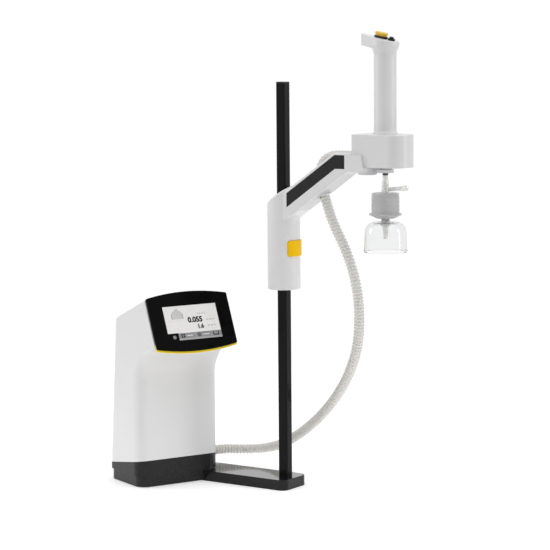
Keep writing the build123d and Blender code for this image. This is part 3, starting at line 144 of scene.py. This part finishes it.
def rounded(points, radius, steps=4):
    """An outline with its corners rounded; points are (radius, height) pairs."""
    out = []
    count = len(points)
    for i in range(count):
        here = Vector(points[i])
        before, after = Vector(points[i - 1]), Vector(points[(i + 1) % count])
        reach = min(radius, (here - before).length * 0.45, (after - here).length * 0.45)
        a = here + (before - here).normalized() * reach
        b = here + (after - here).normalized() * reach
        for k in range(steps + 1):
            t = k / steps
            out.append(tuple(a.lerp(here, t).lerp(here.lerp(b, t), t)))
    return out


def mesh_of(curve):
    """The shape of a curve or text, as a mesh."""
    holder = bpy.data.objects.new(curve.name, curve)
    scene.collection.objects.link(holder)
    bpy.context.view_layer.update()
    mesh = bpy.data.meshes.new_from_object(holder.evaluated_get(bpy.context.evaluated_depsgraph_get()))
    bpy.data.objects.remove(holder)
    return mesh


def ring(centre, across, along, radius, sides):
    """Points round a circle in the plane of two unit vectors."""
    angles = [2 * math.pi * j / sides for j in range(sides)]
    return [centre + (across * math.cos(angle) + along * math.sin(angle)) * radius for angle in angles]


def tube_piece(name, rings, material):
    """A solid tube through rings of points, with both ends closed; it rides on no body yet."""
    sides, last = len(rings[0]), len(rings) - 1
    verts = [point for points in rings for point in points]
    faces = []
    for i in range(last):
        for j in range(sides):
            k = (j + 1) % sides
            faces.append((i * sides + j, i * sides + k, (i + 1) * sides + k, (i + 1) * sides + j))
    faces.append(tuple(range(sides))[::-1])
    faces.append(tuple(last * sides + j for j in range(sides)))
    return mesh_piece(name, verts, faces, material, None)


# --- Hose ----------------------------------------------------------------------------------------

HOSE_DIAMETER = 0.018
HOSE_SPLIT = (0.0782, 0.0, 0.5249)
LOWER_ROUTE = [
    (-0.19058, 0.03185, 0.035), (-0.17593, 0.06473, 0.035), (-0.1515, 0.091, 0.032),
    (-0.118, 0.107, 0.034), (-0.080, 0.110, 0.045), (-0.034, 0.098, 0.071), (0.010, 0.086, 0.102),
    (0.052, 0.071, 0.139), (0.092, 0.057, 0.187), (0.122, 0.042, 0.243), (0.135, 0.028, 0.305),
    (0.134, 0.017, 0.363), (0.120, 0.008, 0.415), (0.103, 0.0, 0.453), (0.08804, 0.0, 0.4882),
    HOSE_SPLIT,
]
UPPER_ROUTE = [
    HOSE_SPLIT, (0.07419, 0.0, 0.53987), (0.0771, 0.0, 0.5546), (0.0861, 0.0, 0.5664),
    (0.0996, 0.0, 0.5724), (0.122, 0.0, 0.573), (0.146, 0.0, 0.573),
]
RIB_PITCH = 0.0060
RIB_DEPTH = 0.0021
RIB_FULLNESS = 0.6
RINGS_PER_RIB = 6
HOSE_SIDES = 28


def smooth_line(name, route):
    """Points read from a smooth spline through a route's control points."""
    curve = bpy.data.curves.new(name, "CURVE")
    curve.dimensions = "3D"
    curve.resolution_u = 24
    spline = curve.splines.new("NURBS")
    spline.points.add(len(route) - 1)
    for point, place in zip(spline.points, route):
        point.co = (*place, 1.0)
    spline.order_u = 3
    spline.use_endpoint_u = True
    mesh = mesh_of(curve)
    line = [v.co.copy() for v in mesh.vertices]
    bpy.data.meshes.remove(mesh)
    return line


def along_line(line, spacing):
    """Evenly spaced points on a line."""
    reached = [0.0]
    for a, b in zip(line, line[1:]):
        reached.append(reached[-1] + (b - a).length)
    total = reached[-1]
    count = max(int(round(total / spacing)), 2)
    out, k = [], 0
    for i in range(count + 1):
        s = total * i / count
        while k < len(reached) - 2 and reached[k + 1] < s:
            k += 1
        run = reached[k + 1] - reached[k]
        out.append(line[k].lerp(line[k + 1], (s - reached[k]) / run if run > 0 else 0.0))
    return out


def corrugated_tube(name, route, material):
    """A hose with rounded ribs, and the ring centres that it follows."""
    centres = along_line(smooth_line(name + "_line", route), RIB_PITCH / RINGS_PER_RIB)
    crest, valley = HOSE_DIAMETER / 2, HOSE_DIAMETER / 2 - RIB_DEPTH
    tangents = []
    for i in range(len(centres)):
        a, b = centres[max(i - 1, 0)], centres[min(i + 1, len(centres) - 1)]
        tangents.append((b - a).normalized())
    across = tangents[0].orthogonal().normalized()
    rings = []
    for i, (centre, tangent) in enumerate(zip(centres, tangents)):
        across = (across - tangent * across.dot(tangent)).normalized()
        wave = 0.5 + 0.5 * math.cos(2 * math.pi * i / RINGS_PER_RIB)
        radius = valley + (crest - valley) * wave ** RIB_FULLNESS
        rings.append(ring(centre, across, tangent.cross(across), radius, HOSE_SIDES))
    return tube_piece(name, rings, material), centres


# --- Materials -----------------------------------------------------------------------------------

def new_material(name, **uniform):
    """A node material whose even values are set on the shader's own sockets."""
    material = bpy.data.materials.new(name)
    material.use_nodes = True
    shader = material.node_tree.nodes["Principled BSDF"]
    for socket, value in uniform.items():
        shader.inputs[socket.replace("_", " ")].default_value = value
    return material, material.node_tree, shader


def noise(tree, scale, detail=3.0, stretch=None):
    """A noise texture in the object's own space; stretch multiplies X, Y and Z."""
    place = tree.nodes.new("ShaderNodeTexCoord").outputs["Object"]
    if stretch:
        mapping = tree.nodes.new("ShaderNodeMapping")
        mapping.inputs["Scale"].default_value = stretch
        tree.links.new(place, mapping.inputs["Vector"])
        place = mapping.outputs["Vector"]
    texture = tree.nodes.new("ShaderNodeTexNoise")
    texture.inputs["Scale"].default_value = scale
    texture.inputs["Detail"].default_value = detail
    tree.links.new(place, texture.inputs["Vector"])
    return texture.outputs["Fac"]


def spread(tree, value, low, high, start=0.3, end=0.7):
    """Maps a value between start and end onto low to high."""
    node = tree.nodes.new("ShaderNodeMapRange")
    node.inputs["From Min"].default_value = start
    node.inputs["From Max"].default_value = end
    node.inputs["To Min"].default_value = low
    node.inputs["To Max"].default_value = high
    tree.links.new(value, node.inputs["Value"])
    return node.outputs["Result"]


def two_tones(tree, value, first, second):
    """A colour between two tones."""
    ramp = tree.nodes.new("ShaderNodeValToRGB")
    ramp.color_ramp.elements[0].position = 0.3
    ramp.color_ramp.elements[0].color = (*first, 1)
    ramp.color_ramp.elements[1].position = 0.7
    ramp.color_ramp.elements[1].color = (*second, 1)
    tree.links.new(value, ramp.inputs["Fac"])
    return ramp.outputs["Color"]


def bump(tree, shader, value, strength, distance):
    """Adds a bump, on top of any that is there."""
    node = tree.nodes.new("ShaderNodeBump")
    node.inputs["Strength"].default_value = strength
    node.inputs["Distance"].default_value = distance
    tree.links.new(value, node.inputs["Height"])
    if shader.inputs["Normal"].links:
        tree.links.new(shader.inputs["Normal"].links[0].from_socket, node.inputs["Normal"])
    tree.links.new(node.outputs["Normal"], shader.inputs["Normal"])


def plastic(name, tone, other, rough, grain=900.0, depth=0.00003, strength=0.25, **uniform):
    """Moulded plastic: slow colour drift, uneven gloss and a fine spark-eroded grain."""
    material, tree, shader = new_material(name, **uniform)
    tree.links.new(two_tones(tree, noise(tree, 14.0), tone, other), shader.inputs["Base Color"])
    tree.links.new(spread(tree, noise(tree, 70.0, 5.0), *rough), shader.inputs["Roughness"])
    bump(tree, shader, noise(tree, grain, 2.0), strength, depth)
    return material


def metal(name, tone, other, rough, stretch):
    """Turned or brushed metal, with its lines along the stretched direction."""
    material, tree, shader = new_material(name, Metallic=1.0)
    lines = noise(tree, 260.0, 4.0, stretch)
    tree.links.new(two_tones(tree, lines, tone, other), shader.inputs["Base Color"])
    tree.links.new(spread(tree, lines, *rough), shader.inputs["Roughness"])
    bump(tree, shader, lines, 0.15, 0.00003)
    return material


def banded(name, tone, other, rough, pitch, depth, axis):
    """Plastic with moulded ridges across one axis."""
    material, tree, shader = new_material(name)
    tree.links.new(two_tones(tree, noise(tree, 25.0), tone, other), shader.inputs["Base Color"])
    tree.links.new(spread(tree, noise(tree, 90.0, 5.0), *rough), shader.inputs["Roughness"])
    place = tree.nodes.new("ShaderNodeTexCoord")
    wave = tree.nodes.new("ShaderNodeTexWave")
    wave.bands_direction = axis
    wave.inputs["Scale"].default_value = math.pi / (10.0 * pitch)
    tree.links.new(place.outputs["Object"], wave.inputs["Vector"])
    bump(tree, shader, wave.outputs["Fac"], 0.6, depth)
    bump(tree, shader, noise(tree, 1200.0, 2.0), 0.15, 0.00002)
    return material


def board(name):
    """Solder mask over copper tracks."""
    material, tree, shader = new_material(name, Roughness=0.35)
    place = tree.nodes.new("ShaderNodeTexCoord")
    brick = tree.nodes.new("ShaderNodeTexBrick")
    brick.inputs["Scale"].default_value = 60.0
    brick.inputs["Mortar Size"].default_value = 0.03
    brick.inputs["Color1"].default_value = (0.010, 0.120, 0.045, 1)
    brick.inputs["Color2"].default_value = (0.012, 0.140, 0.055, 1)
    brick.inputs["Mortar"].default_value = (0.030, 0.220, 0.090, 1)
    tree.links.new(place.outputs["Object"], brick.inputs["Vector"])
    tree.links.new(brick.outputs["Color"], shader.inputs["Base Color"])
    bump(tree, shader, brick.outputs["Fac"], 0.3, 0.00005)
    return material


def clear(name, tone, rough, ior, through, soak=0.0):
    """Clear or frosted plastic with faint flow marks and uneven haze; soak darkens walls seen edge on."""
    material, tree, shader = new_material(name, Transmission_Weight=through, IOR=ior)
    if soak:
        haze = tree.nodes.new("ShaderNodeVolumeAbsorption")
        haze.inputs["Color"].default_value = (0.10, 0.10, 0.11, 1)
        haze.inputs["Density"].default_value = soak
        tree.links.new(haze.outputs["Volume"], tree.nodes["Material Output"].inputs["Volume"])
    darker = tuple(channel * 0.985 for channel in tone)
    tree.links.new(two_tones(tree, noise(tree, 30.0), tone, darker), shader.inputs["Base Color"])
    tree.links.new(spread(tree, noise(tree, 60.0, 4.0), *rough), shader.inputs["Roughness"])
    bump(tree, shader, noise(tree, 45.0, 2.0), 0.04, 0.0001)
    return material


def painted_shade_above(name, lower, upper, height, blur=0.002):
    """The display's trim: one tone below a height and another above it; the tone above is painted shade.
    """
    material, tree, shader = new_material(name)
    tree.links.new(spread(tree, noise(tree, 70.0, 5.0), 0.32, 0.42), shader.inputs["Roughness"])
    place = tree.nodes.new("ShaderNodeTexCoord").outputs["Object"]
    split = tree.nodes.new("ShaderNodeSeparateXYZ")
    tree.links.new(place, split.inputs["Vector"])
    # The mask for the painted shade above the height.
    shade = spread(tree, split.outputs["Z"], 0.0, 1.0, height, height + blur)
    tree.links.new(two_tones(tree, shade, lower, upper), shader.inputs["Base Color"])
    bump(tree, shader, noise(tree, 900.0, 2.0), 0.15, 0.00003)
    return material


white = plastic(
    "casing_white", (0.80, 0.80, 0.805), (0.785, 0.785, 0.792), (0.30, 0.38),
    Coat_Weight=0.12, Coat_Roughness=0.25,
)
white_matt = plastic("inner_white", (0.74, 0.74, 0.75), (0.71, 0.71, 0.72), (0.50, 0.60), depth=0.00006)
black = plastic(
    "casing_black", (0.004, 0.004, 0.004), (0.006, 0.006, 0.006), (0.24, 0.32),
    depth=0.00002, Specular_IOR_Level=0.30,
)
black_paint = plastic(
    "paint_black", (0.003, 0.003, 0.003), (0.004, 0.004, 0.004), (0.16, 0.22),
    grain=700.0, depth=0.00001, strength=0.08, Specular_IOR_Level=0.12,
)
black_lacquer = plastic(
    "lacquer_black", (0.004, 0.004, 0.004), (0.006, 0.006, 0.006), (0.12, 0.18),
    grain=700.0, depth=0.00001, strength=0.06,
    Coat_Weight=1.0, Coat_Roughness=0.04, Coat_IOR=1.3, Specular_IOR_Level=0.05,
)
black_gloss = plastic(
    "glass_black", (0.002, 0.002, 0.002), (0.003, 0.003, 0.003), (0.10, 0.16),
    grain=300.0, depth=0.00001, strength=0.05, Specular_IOR_Level=0.05,
)
yellow = plastic(
    "accent_yellow", (1.00, 0.60, 0.001), (0.97, 0.57, 0.001), (0.40, 0.50),
    depth=0.00003, Specular_IOR_Level=0.15,
)
# The trim is yellow below 0.256 m and painted black above it, as painted shade on its upper sides.
trim_yellow_painted_shade = painted_shade_above("trim_yellow_painted_shade", (1.0, 0.74, 0.004), (0.004, 0.004, 0.004), 0.256)
yellow_pale = plastic("button_yellow", (0.95, 0.62, 0.06), (0.91, 0.58, 0.05), (0.28, 0.36))
rubber = plastic(
    "rubber_black", (0.018, 0.018, 0.018), (0.026, 0.026, 0.026), (0.70, 0.85), grain=500.0, depth=0.0001
)
grey_key = plastic("key_grey", (0.30, 0.30, 0.32), (0.26, 0.26, 0.28), (0.15, 0.20), depth=0.00001)
grey_part = plastic("part_grey", (0.42, 0.43, 0.45), (0.38, 0.39, 0.41), (0.40, 0.50))
seal = plastic(
    "seal_black", (0.008, 0.008, 0.008), (0.012, 0.012, 0.012), (0.45, 0.60), grain=500.0, depth=0.00008
)
steel = metal("screw_steel", (0.50, 0.50, 0.51), (0.40, 0.40, 0.41), (0.22, 0.38), (1, 1, 6))
brass = metal("valve_brass", (0.62, 0.45, 0.20), (0.54, 0.38, 0.15), (0.24, 0.38), (1, 1, 8))
hose_white = plastic(
    "hose_white", (0.78, 0.77, 0.74), (0.75, 0.74, 0.71), (0.42, 0.52),
    grain=500.0, depth=0.00005, Subsurface_Weight=0.15, Subsurface_Scale=0.004,
)
membrane = banded(
    "filter_media", (0.80, 0.80, 0.79), (0.76, 0.76, 0.75), (0.80, 0.90),
    pitch=0.0016, depth=0.0006, axis="X",
)
frosted = clear("filter_frosted", (0.90, 0.90, 0.90), (0.28, 0.36), ior=1.25, through=0.35)
frosted_shell = clear("filter_shell", (0.66, 0.66, 0.67), (0.30, 0.40), ior=1.30, through=0.22)
vent_clear = clear("vent_pale", (0.95, 0.95, 0.93), (0.25, 0.32), ior=1.20, through=0.60)
bell_clear = clear("bell_clear", (0.99, 0.992, 0.995), (0.02, 0.05), ior=1.30, through=1.0, soak=42.0)
circuit = board("board_green")

BY_SLOT = {
    "white_casing": white, "white_inner": white_matt, "black_casing": black, "black_metal": black_paint,
    "gloss_black": black_gloss, "accent_yellow": yellow, "button_yellow": yellow_pale,
    "screen": black_gloss, "key_grey": grey_key, "rubber_black": rubber, "screw_steel": steel,
    "board_green": circuit, "manifold_grey": grey_part, "valve_brass": brass, "hose_white": hose_white,
    "filter_frosted": frosted, "filter_media": membrane, "vent_pale": vent_clear,
    "clear_plastic": bell_clear, "seal_grey": seal,
}
for row in frame["record"]["subparts"]:
    node = nodes[row["node"]]
    node.data.materials.clear()
    node.data.materials.append(BY_SLOT[row["material_slot"]])
nodes["foot_bar"].data.materials[0] = black_lacquer
nodes["filter_stem"].data.materials[0] = vent_clear
nodes["display_trim"].data.materials[0] = trim_yellow_painted_shade


# --- Hoses, made to stand in for the hidden CAD hoses --------------------------------------------

lower, lower_path = corrugated_tube("hose_ribbed_lower", LOWER_ROUTE, hose_white)
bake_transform(lower)
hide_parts("hose_lower")
upper, upper_path = corrugated_tube("hose_ribbed_upper", UPPER_ROUTE, hose_white)
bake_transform(upper)
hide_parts("hose_upper")


# --- The release spring, a coil wound between two fixed points -----------------------------------

SPRING_START = Vector((0.0140, 0, 0.4130))
SPRING_END = Vector((0.0229, 0, 0.4130))
SPRING_RADIUS = 0.0026
SPRING_TURNS = 5
WIRE_RADIUS = 0.00035


def coil(name, material, steps_per_turn=16, sides=8):
    """A round wire wound about the line from the spring's start to its end, which lies along X."""
    steps = steps_per_turn * SPRING_TURNS
    rings = []
    for i in range(steps + 1):
        turn = 2 * math.pi * SPRING_TURNS * i / steps
        outward = Vector((0, math.cos(turn), math.sin(turn)))
        centre = SPRING_START + (SPRING_END - SPRING_START) * i / steps + outward * SPRING_RADIUS
        rings.append(ring(centre, outward, Vector((1, 0, 0)), WIRE_RADIUS, sides))
    return tube_piece(name, rings, material)


spring = coil("release_coil", steel)
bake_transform(spring)
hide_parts("release_spring")


# --- Display graphics ----------------------------------------------------------------------------

UNIT_SPOT = Vector((-0.214, -0.065, 0))
UNIT_TURN = math.radians(66.0)
ACROSS = Vector((math.cos(UNIT_TURN), math.sin(UNIT_TURN), 0))
BACK = Vector((-math.sin(UNIT_TURN), math.cos(UNIT_TURN), 0))
FACE_RUN, FACE_RISE = 37.0, 82.4
FACE_TILT = math.atan(FACE_RUN / FACE_RISE)
FACE_OUT = UP * math.sin(FACE_TILT) - BACK * math.cos(FACE_TILT)
FACE_UP = UP * math.cos(FACE_TILT) + BACK * math.sin(FACE_TILT)
FACE_CENTRE = UNIT_SPOT + UP * 0.2892 - BACK * 0.1025

# The face's own layout, in millimetres. The screen has a notch at its lower left, for the touch dot.
SCREEN_LIFT = 4.8
FIELD_LIFT, RULE_LIFT, SHADE_LIFT, MARK_LIFT, INK_LIFT = 0.05, 0.08, 0.10, 0.12, 0.14
SCREEN_RIGHT, SCREEN_TOP, SCREEN_LOW = 51.8, 27.8, -32.8
NOTCH_RIGHT, NOTCH_TOP = -31.8, -19.8
TOOLS_LOW, TOOLS_HEIGHT = -30.0, 9.6
SIZE_PER_FIGURE_HEIGHT = 1.37


def on_face(x, y, lift):
    """A point in millimetres across, up and off the sloping face."""
    return FACE_CENTRE + (ACROSS * x + FACE_UP * y + FACE_OUT * lift) / 1000


def glowing(name, tone, other, glow):
    """A lit patch of the display, with a faint cell pattern."""
    material, tree, shader = new_material(name, Roughness=0.30, Specular_IOR_Level=0.15)
    color = two_tones(tree, noise(tree, 60.0), tone, other)
    tree.links.new(color, shader.inputs["Base Color"])
    tree.links.new(color, shader.inputs["Emission Color"])
    shader.inputs["Emission Strength"].default_value = glow
    bump(tree, shader, noise(tree, 2500.0, 1.0), 0.05, 0.00001)
    return material


def face_patch(name, shapes, lift, material):
    """Flat shapes on the display; each shape is a list of (x, y) in millimetres."""
    verts, faces = [], []
    for shape in shapes:
        start = len(verts)
        verts += [on_face(x, y, SCREEN_LIFT + lift) for x, y in shape]
        faces.append(tuple(range(start, len(verts))))
    return mesh_piece(name, verts, faces, material, "stand", smooth=False)


def bar(x, y, width, height):
    """An upright rectangle from its lower left corner."""
    return [(x, y), (x + width, y), (x + width, y + height), (x, y + height)]


def bell_sign(x, y, width, height, steps=10):
    """A small picture of a filling bell: a dome with a short neck."""
    half = width / 2
    right = [(x + half, y)]
    for k in range(steps + 1):
        turn = math.pi / 2 * k / steps
        right.append((x + half * math.cos(turn) * 0.96, y + height * (0.42 + 0.45 * math.sin(turn))))
    right = right[:-3] + [(x + width * 0.13, y + height * 0.86), (x + width * 0.13, y + height)]
    return right + [(2 * x - px, py) for px, py in reversed(right)]


def digits(name, words, x, y, height, material, bolder):
    """Plain figures that end at x, as a flat mesh on the display; bolder thickens their strokes."""
    curve = bpy.data.curves.new(name + "_text", "FONT")
    curve.body = words
    curve.size = height / 1000 * SIZE_PER_FIGURE_HEIGHT
    curve.offset = bolder / 1000
    curve.fill_mode = "FRONT"
    curve.resolution_u = 4
    curve.align_x = "RIGHT"
    mesh = mesh_of(curve)
    for vertex in mesh.vertices:
        flat = vertex.co
        vertex.co = on_face(x + flat.x * 1000, y + flat.y * 1000, SCREEN_LIFT + INK_LIFT)
    mesh.materials.clear()
    mesh.materials.append(material)
    piece = bpy.data.objects.new(name, mesh)
    scene.collection.objects.link(piece)
    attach(piece, "stand")


lit = glowing("screen_lit", (0.80, 0.79, 0.78), (0.77, 0.76, 0.75), 0.16)
lit_soft = glowing("screen_soft", (0.62, 0.62, 0.62), (0.58, 0.58, 0.58), 0.30)
sign_grey = glowing("screen_sign", (0.52, 0.52, 0.52), (0.46, 0.46, 0.46), 0.30)
sign_edge = glowing("screen_sign_edge", (0.30, 0.30, 0.31), (0.26, 0.26, 0.27), 0.25)
tool_grey = glowing("screen_tools", (0.30, 0.30, 0.31), (0.26, 0.26, 0.27), 0.10)
tool_light = glowing("screen_tools_light", (0.44, 0.44, 0.45), (0.40, 0.40, 0.41), 0.12)
ink = glowing("screen_ink", (0.006, 0.006, 0.006), (0.004, 0.004, 0.004), 0.0)

face_patch("display_field", [[
    (-SCREEN_RIGHT, SCREEN_TOP), (SCREEN_RIGHT, SCREEN_TOP), (SCREEN_RIGHT, SCREEN_LOW),
    (NOTCH_RIGHT, SCREEN_LOW), (NOTCH_RIGHT, NOTCH_TOP), (-SCREEN_RIGHT, NOTCH_TOP),
]], FIELD_LIFT, lit)
rules = [bar(-48, y, 96, 0.35) for y in (-15.5, 0.5, 2.0, 24.5)]
face_patch("display_rules", rules, RULE_LIFT, lit_soft)
face_patch("display_bell_sign", [bell_sign(-27, 4.6, 23, 18)], SHADE_LIFT, sign_grey)
bell_edges = [bar(x, 4.6, 1.2, 9) for x in (-38.5, -16.8)]
face_patch("display_bell_edges", bell_edges, MARK_LIFT, sign_edge)

digits("display_figures_main", "0.055", 20.5, -2.6, 9.4, ink, 0.62)
digits("display_figures_small", "1.6", 20.5, -14.0, 7.4, ink, 0.50)

# Dashes stand where the units and a caption would be.
marks = []
for y in (-0.9, -11.4):
    for k, width in enumerate((2.6, 1.2, 2.4, 1.0, 2.2)):
        marks.append(bar(28.0 + 3.2 * k, y, width, 1.5))
for k in range(4):
    marks.append(bar(12.0 + 4.6 * k, 10.8, 2.4, 0.9))
    marks.append(bar(12.8 + 4.6 * k, 12.4, 0.9, 1.4))
face_patch("display_unit_marks", marks, MARK_LIFT, sign_edge)

tools_width = SCREEN_RIGHT - NOTCH_RIGHT
toolbar = bar(NOTCH_RIGHT, TOOLS_LOW, tools_width, TOOLS_HEIGHT)
face_patch("display_toolbar", [toolbar], SHADE_LIFT, tool_grey)
tool_edges = [bar(NOTCH_RIGHT, SCREEN_LOW, tools_width, TOOLS_LOW - SCREEN_LOW)]
tool_edges += [bar(x, TOOLS_LOW, 0.7, TOOLS_HEIGHT) for x in (0.2, 31.6)]
face_patch("display_tool_edges", tool_edges, MARK_LIFT, tool_light)
icons = [bar(x, y, 3.2, 2.6) for y in (-28.6, -24.8) for x in (-27, -22.8)]
icons += [bar(5.0, y, 6.0, 1.3) for y in (-28.4, -26.0, -23.6)]
icons += [bar(35.5, -28.6, 11.0, 1.6)]
icons += [bar(x, -28.6, 1.6, 6.6) for x in (35.5, 44.9)]
face_patch("display_tool_icons", icons, INK_LIFT, ink)
tool_marks = [bar(-15.5, -26.2, 10.5, 1.3), bar(15.0, -26.2, 12.5, 1.3)]
face_patch("display_tool_marks", tool_marks, INK_LIFT, lit)


# --- Filter, bell and vent -----------------------------------------------------------------------

AXIS = (0.203, 0.0, 0.0)


def turned_piece(name, outline, material, slot, replaced, radius, steps=96, **shape):
    """A closed turned piece on the dispenser's axis."""
    verts, faces = turned_mesh(rounded(outline, radius), AXIS, UP, steps, closed=True, **shape)
    piece = mesh_piece(name, verts, faces, material, "dispenser")
    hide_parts(*replaced)


def filter_outline():
    """The capsule's wall: a stepped cap, four shallow bands, a flange and a coned floor."""
    outer = [(0.0032, 0.5138), (0.0215, 0.5138), (0.0226, 0.5126), (0.0228, 0.5086), (0.0222, 0.5078)]
    for k in range(4):
        top = 0.5068 - 0.0058 * k
        outer += [(0.0232, top), (0.0232, top - 0.0044), (0.0228, top - 0.0050), (0.0228, top - 0.0054)]
    outer += [(0.0232, 0.4826), (0.0234, 0.4806), (0.0270, 0.4797), (0.0272, 0.4776), (0.0240, 0.4762)]
    outer += [(0.0150, 0.4721), (0.0070, 0.4709), (0.0067, 0.4668)]
    inner = [(0.0032, 0.4668), (0.0032, 0.4733), (0.0206, 0.4785), (0.0208, 0.4830), (0.0208, 0.5110)]
    return outer + inner + [(0.0032, 0.5112)]


def pleat(angle, height):
    """Sixty shallow folds round the filter medium."""
    return 1.0 + 0.012 * math.cos(60 * angle)


turned_piece(
    "filter_capsule", filter_outline(), frosted_shell,
    "filter_frosted", ("filter_body", "filter_cap"), 0.0004,
)
turned_piece(
    "filter_pleats", [(0.0040, 0.5035), (0.0187, 0.5035), (0.0187, 0.4812), (0.0040, 0.4812)],
    membrane, "filter_media", ("filter_core",), 0.0004, steps=360, flute=pleat,
)

BELL_TOP, BELL_CORNER, BELL_FOOT = 0.4664, 0.4450, 0.4157
BELL_HOLE, BELL_NECK, BELL_RADIUS = 0.0083, 0.0130, 0.0350
BELL_WALL = 0.0015
NOZZLE_NECK_LOW = 0.4595


def shoulder(radius, top, steps=12):
    """The bell's round shoulder, from the flat round its neck out and down to its wall."""
    points = []
    for k in range(1, steps + 1):
        turn = math.pi / 2 * k / steps
        rise = math.cos(turn) ** 0.80 if k < steps else 0.0
        across = BELL_NECK + (radius - BELL_NECK) * math.sin(turn) ** 0.80
        points.append((across, BELL_CORNER + (top - BELL_CORNER) * rise))
    return points


def bell_outline():
    """A domed shoulder, a nearly straight wall and a beaded rim."""
    outer = [(BELL_HOLE, BELL_TOP), (BELL_NECK, BELL_TOP)] + shoulder(BELL_RADIUS, BELL_TOP)
    rim = [
        (0.0358, BELL_FOOT + 0.0042), (0.0364, BELL_FOOT + 0.0028), (0.0364, BELL_FOOT + 0.0006),
        (0.0358, BELL_FOOT), (0.0346, BELL_FOOT), (0.0343, BELL_FOOT + 0.0040),
    ]
    under = BELL_TOP - BELL_WALL
    inner = shoulder(BELL_RADIUS - BELL_WALL, under)[::-1]
    return outer + rim + inner + [(BELL_NECK, under), (BELL_HOLE, under)]


def winged(angle, height):
    """Two lock wings on the nozzle's neck."""
    return 1.0 + (0.16 * max(math.cos(2 * angle), 0.0) if height > NOZZLE_NECK_LOW else 0.0)


turned_piece(
    "filling_bell_clear", bell_outline(), bell_clear, "clear_plastic", ("filling_bell",), 0.0002, steps=128
)
turned_piece("outlet_nozzle", [
    (0.0022, 0.4663), (0.0068, 0.4663), (0.0070, 0.4625), (0.0056, 0.4602), (0.0047, 0.4560),
    (0.0043, 0.4380), (0.0022, 0.4376),
], vent_clear, "clear_plastic", ("outlet_tube",), 0.0004, steps=72, flute=winged)

VENT_RISE = math.radians(5.5)
VENT_WAY = Vector((math.cos(VENT_RISE), 0, math.sin(VENT_RISE)))
VENT_FOOT = Vector((0.210, 0, 0.5200))


def vent_piece(name, outline, body, replaced, steps, **shape):
    """A closed turned piece on the vent's own axis."""
    verts, faces = turned_mesh(rounded(outline, 0.0005), VENT_FOOT, VENT_WAY, steps, closed=True, **shape)
    piece = mesh_piece(name, verts, faces, vent_clear, body)
    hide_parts(replaced)


def grips(angle, height):
    """Ten finger grips round the vent's cap."""
    return 1.0 + 0.05 * math.cos(10 * angle)


vent_piece("vent_stub", [
    (0.0015, -0.0005), (0.0033, -0.0005), (0.0033, 0.016), (0.0036, 0.017), (0.0036, 0.025),
    (0.0015, 0.025),
], "dispenser", "filter_vent", 40)
vent_piece("vent_screw_cap", [
    (0.0004, 0.0253), (0.0042, 0.0253), (0.0043, 0.0340), (0.0036, 0.0357), (0.0004, 0.0357),
], "vent", "vent_cap", 80, flute=grips)


# --- Small trim on the back ----------------------------------------------------------------------

def screw_head(name, place, out, radius, body):
    """A pan head with a round driver recess."""
    outline = [
        (0.0, 0.0), (radius, 0.0), (radius, radius * 0.35), (radius * 0.85, radius * 0.55),
        (radius * 0.48, radius * 0.62), (radius * 0.44, radius * 0.22), (0.0, radius * 0.20),
    ]
    verts, faces = turned_mesh(outline, place, out, 36)
    mesh_piece(name, verts, faces, steel, body)


REAR_SLOPE = 0.0946
REAR_OUT = (BACK + UP * REAR_SLOPE).normalized()
REAR_UP = (UP - BACK * REAR_SLOPE).normalized()
REAR_FOOT = UNIT_SPOT + UP * 0.020 + BACK * 0.060
PANEL_MIDDLE = REAR_FOOT + REAR_UP * 0.052 + REAR_OUT * 0.002
PANEL_SCREW_X, PANEL_SCREW_Y = 0.041, 0.032
corners = [(x, y) for y in (-PANEL_SCREW_Y, PANEL_SCREW_Y) for x in (-PANEL_SCREW_X, PANEL_SCREW_X)]
for row, (x, y) in enumerate(corners):
    screw_head(f"rear_screw_{row}", PANEL_MIDDLE - ACROSS * x + REAR_UP * y, REAR_OUT, 0.0028, "stand")


# --- Floor and light -----------------------------------------------------------------------------

FLOOR_HALF = 1.1
GLOW_OF_FLOOR = 0.42
SKY_SEEN, SKY_ON_DIFFUSE = 1.02, 0.42


def make_floor():
    """A plain pale sheet that glows a little, so that it ends as white as the background."""
    paper, tree, shader = new_material(
        "floor_paper", Roughness=0.65, Emission_Color=(1, 1, 1, 1), Emission_Strength=GLOW_OF_FLOOR
    )
    tones = two_tones(tree, noise(tree, 6.0), (0.86, 0.86, 0.86), (0.85, 0.85, 0.85))
    tree.links.new(tones, shader.inputs["Base Color"])
    bump(tree, shader, noise(tree, 400.0), 0.05, 0.0001)
    verts = [(x, y, 0.0) for x in (-FLOOR_HALF, FLOOR_HALF) for y in (-FLOOR_HALF, FLOOR_HALF)]
    mesh_piece("floor", verts, [(0, 2, 3, 1)], paper, None, smooth=False)


def make_sky():
    """A white background that is dimmer as a light than as a backdrop or a reflection."""
    world = bpy.data.worlds.new("studio")
    scene.world = world
    world.use_nodes = True
    tree = world.node_tree
    background = tree.nodes["Background"]
    background.inputs["Color"].default_value = (1.0, 1.0, 1.0, 1)
    path = tree.nodes.new("ShaderNodeLightPath")
    strength = spread(tree, path.outputs["Is Diffuse Ray"], SKY_SEEN, SKY_ON_DIFFUSE, 0.0, 1.0)
    tree.links.new(strength, background.inputs["Strength"])


def area_light(name, place, aim, size, watts):
    """A soft rectangular light at a place, turned towards a point."""
    light = bpy.data.lights.new(name, "AREA")
    light.shape = "RECTANGLE"
    light.size, light.size_y = size
    light.energy = watts
    holder = bpy.data.objects.new(name, light)
    turn = (Vector(aim) - Vector(place)).to_track_quat("-Z", "Y").to_matrix().to_4x4()
    holder.matrix_world = Matrix.Translation(Vector(place)) @ turn
    scene.collection.objects.link(holder)


make_floor()
make_sky()
area_light("top_light", (0.3, -0.4, 3.2), (0, 0, 0.0), (3.2, 3.2), 40.0)
area_light("left_light", (-3.0, -1.6, 1.4), (0, 0, 0.35), (1.0, 2.2), 26.0)
area_light("right_light", (3.0, 1.2, 1.2), (0, 0, 0.4), (0.5, 2.0), 20.0)
scene.view_settings.view_transform = "Standard"
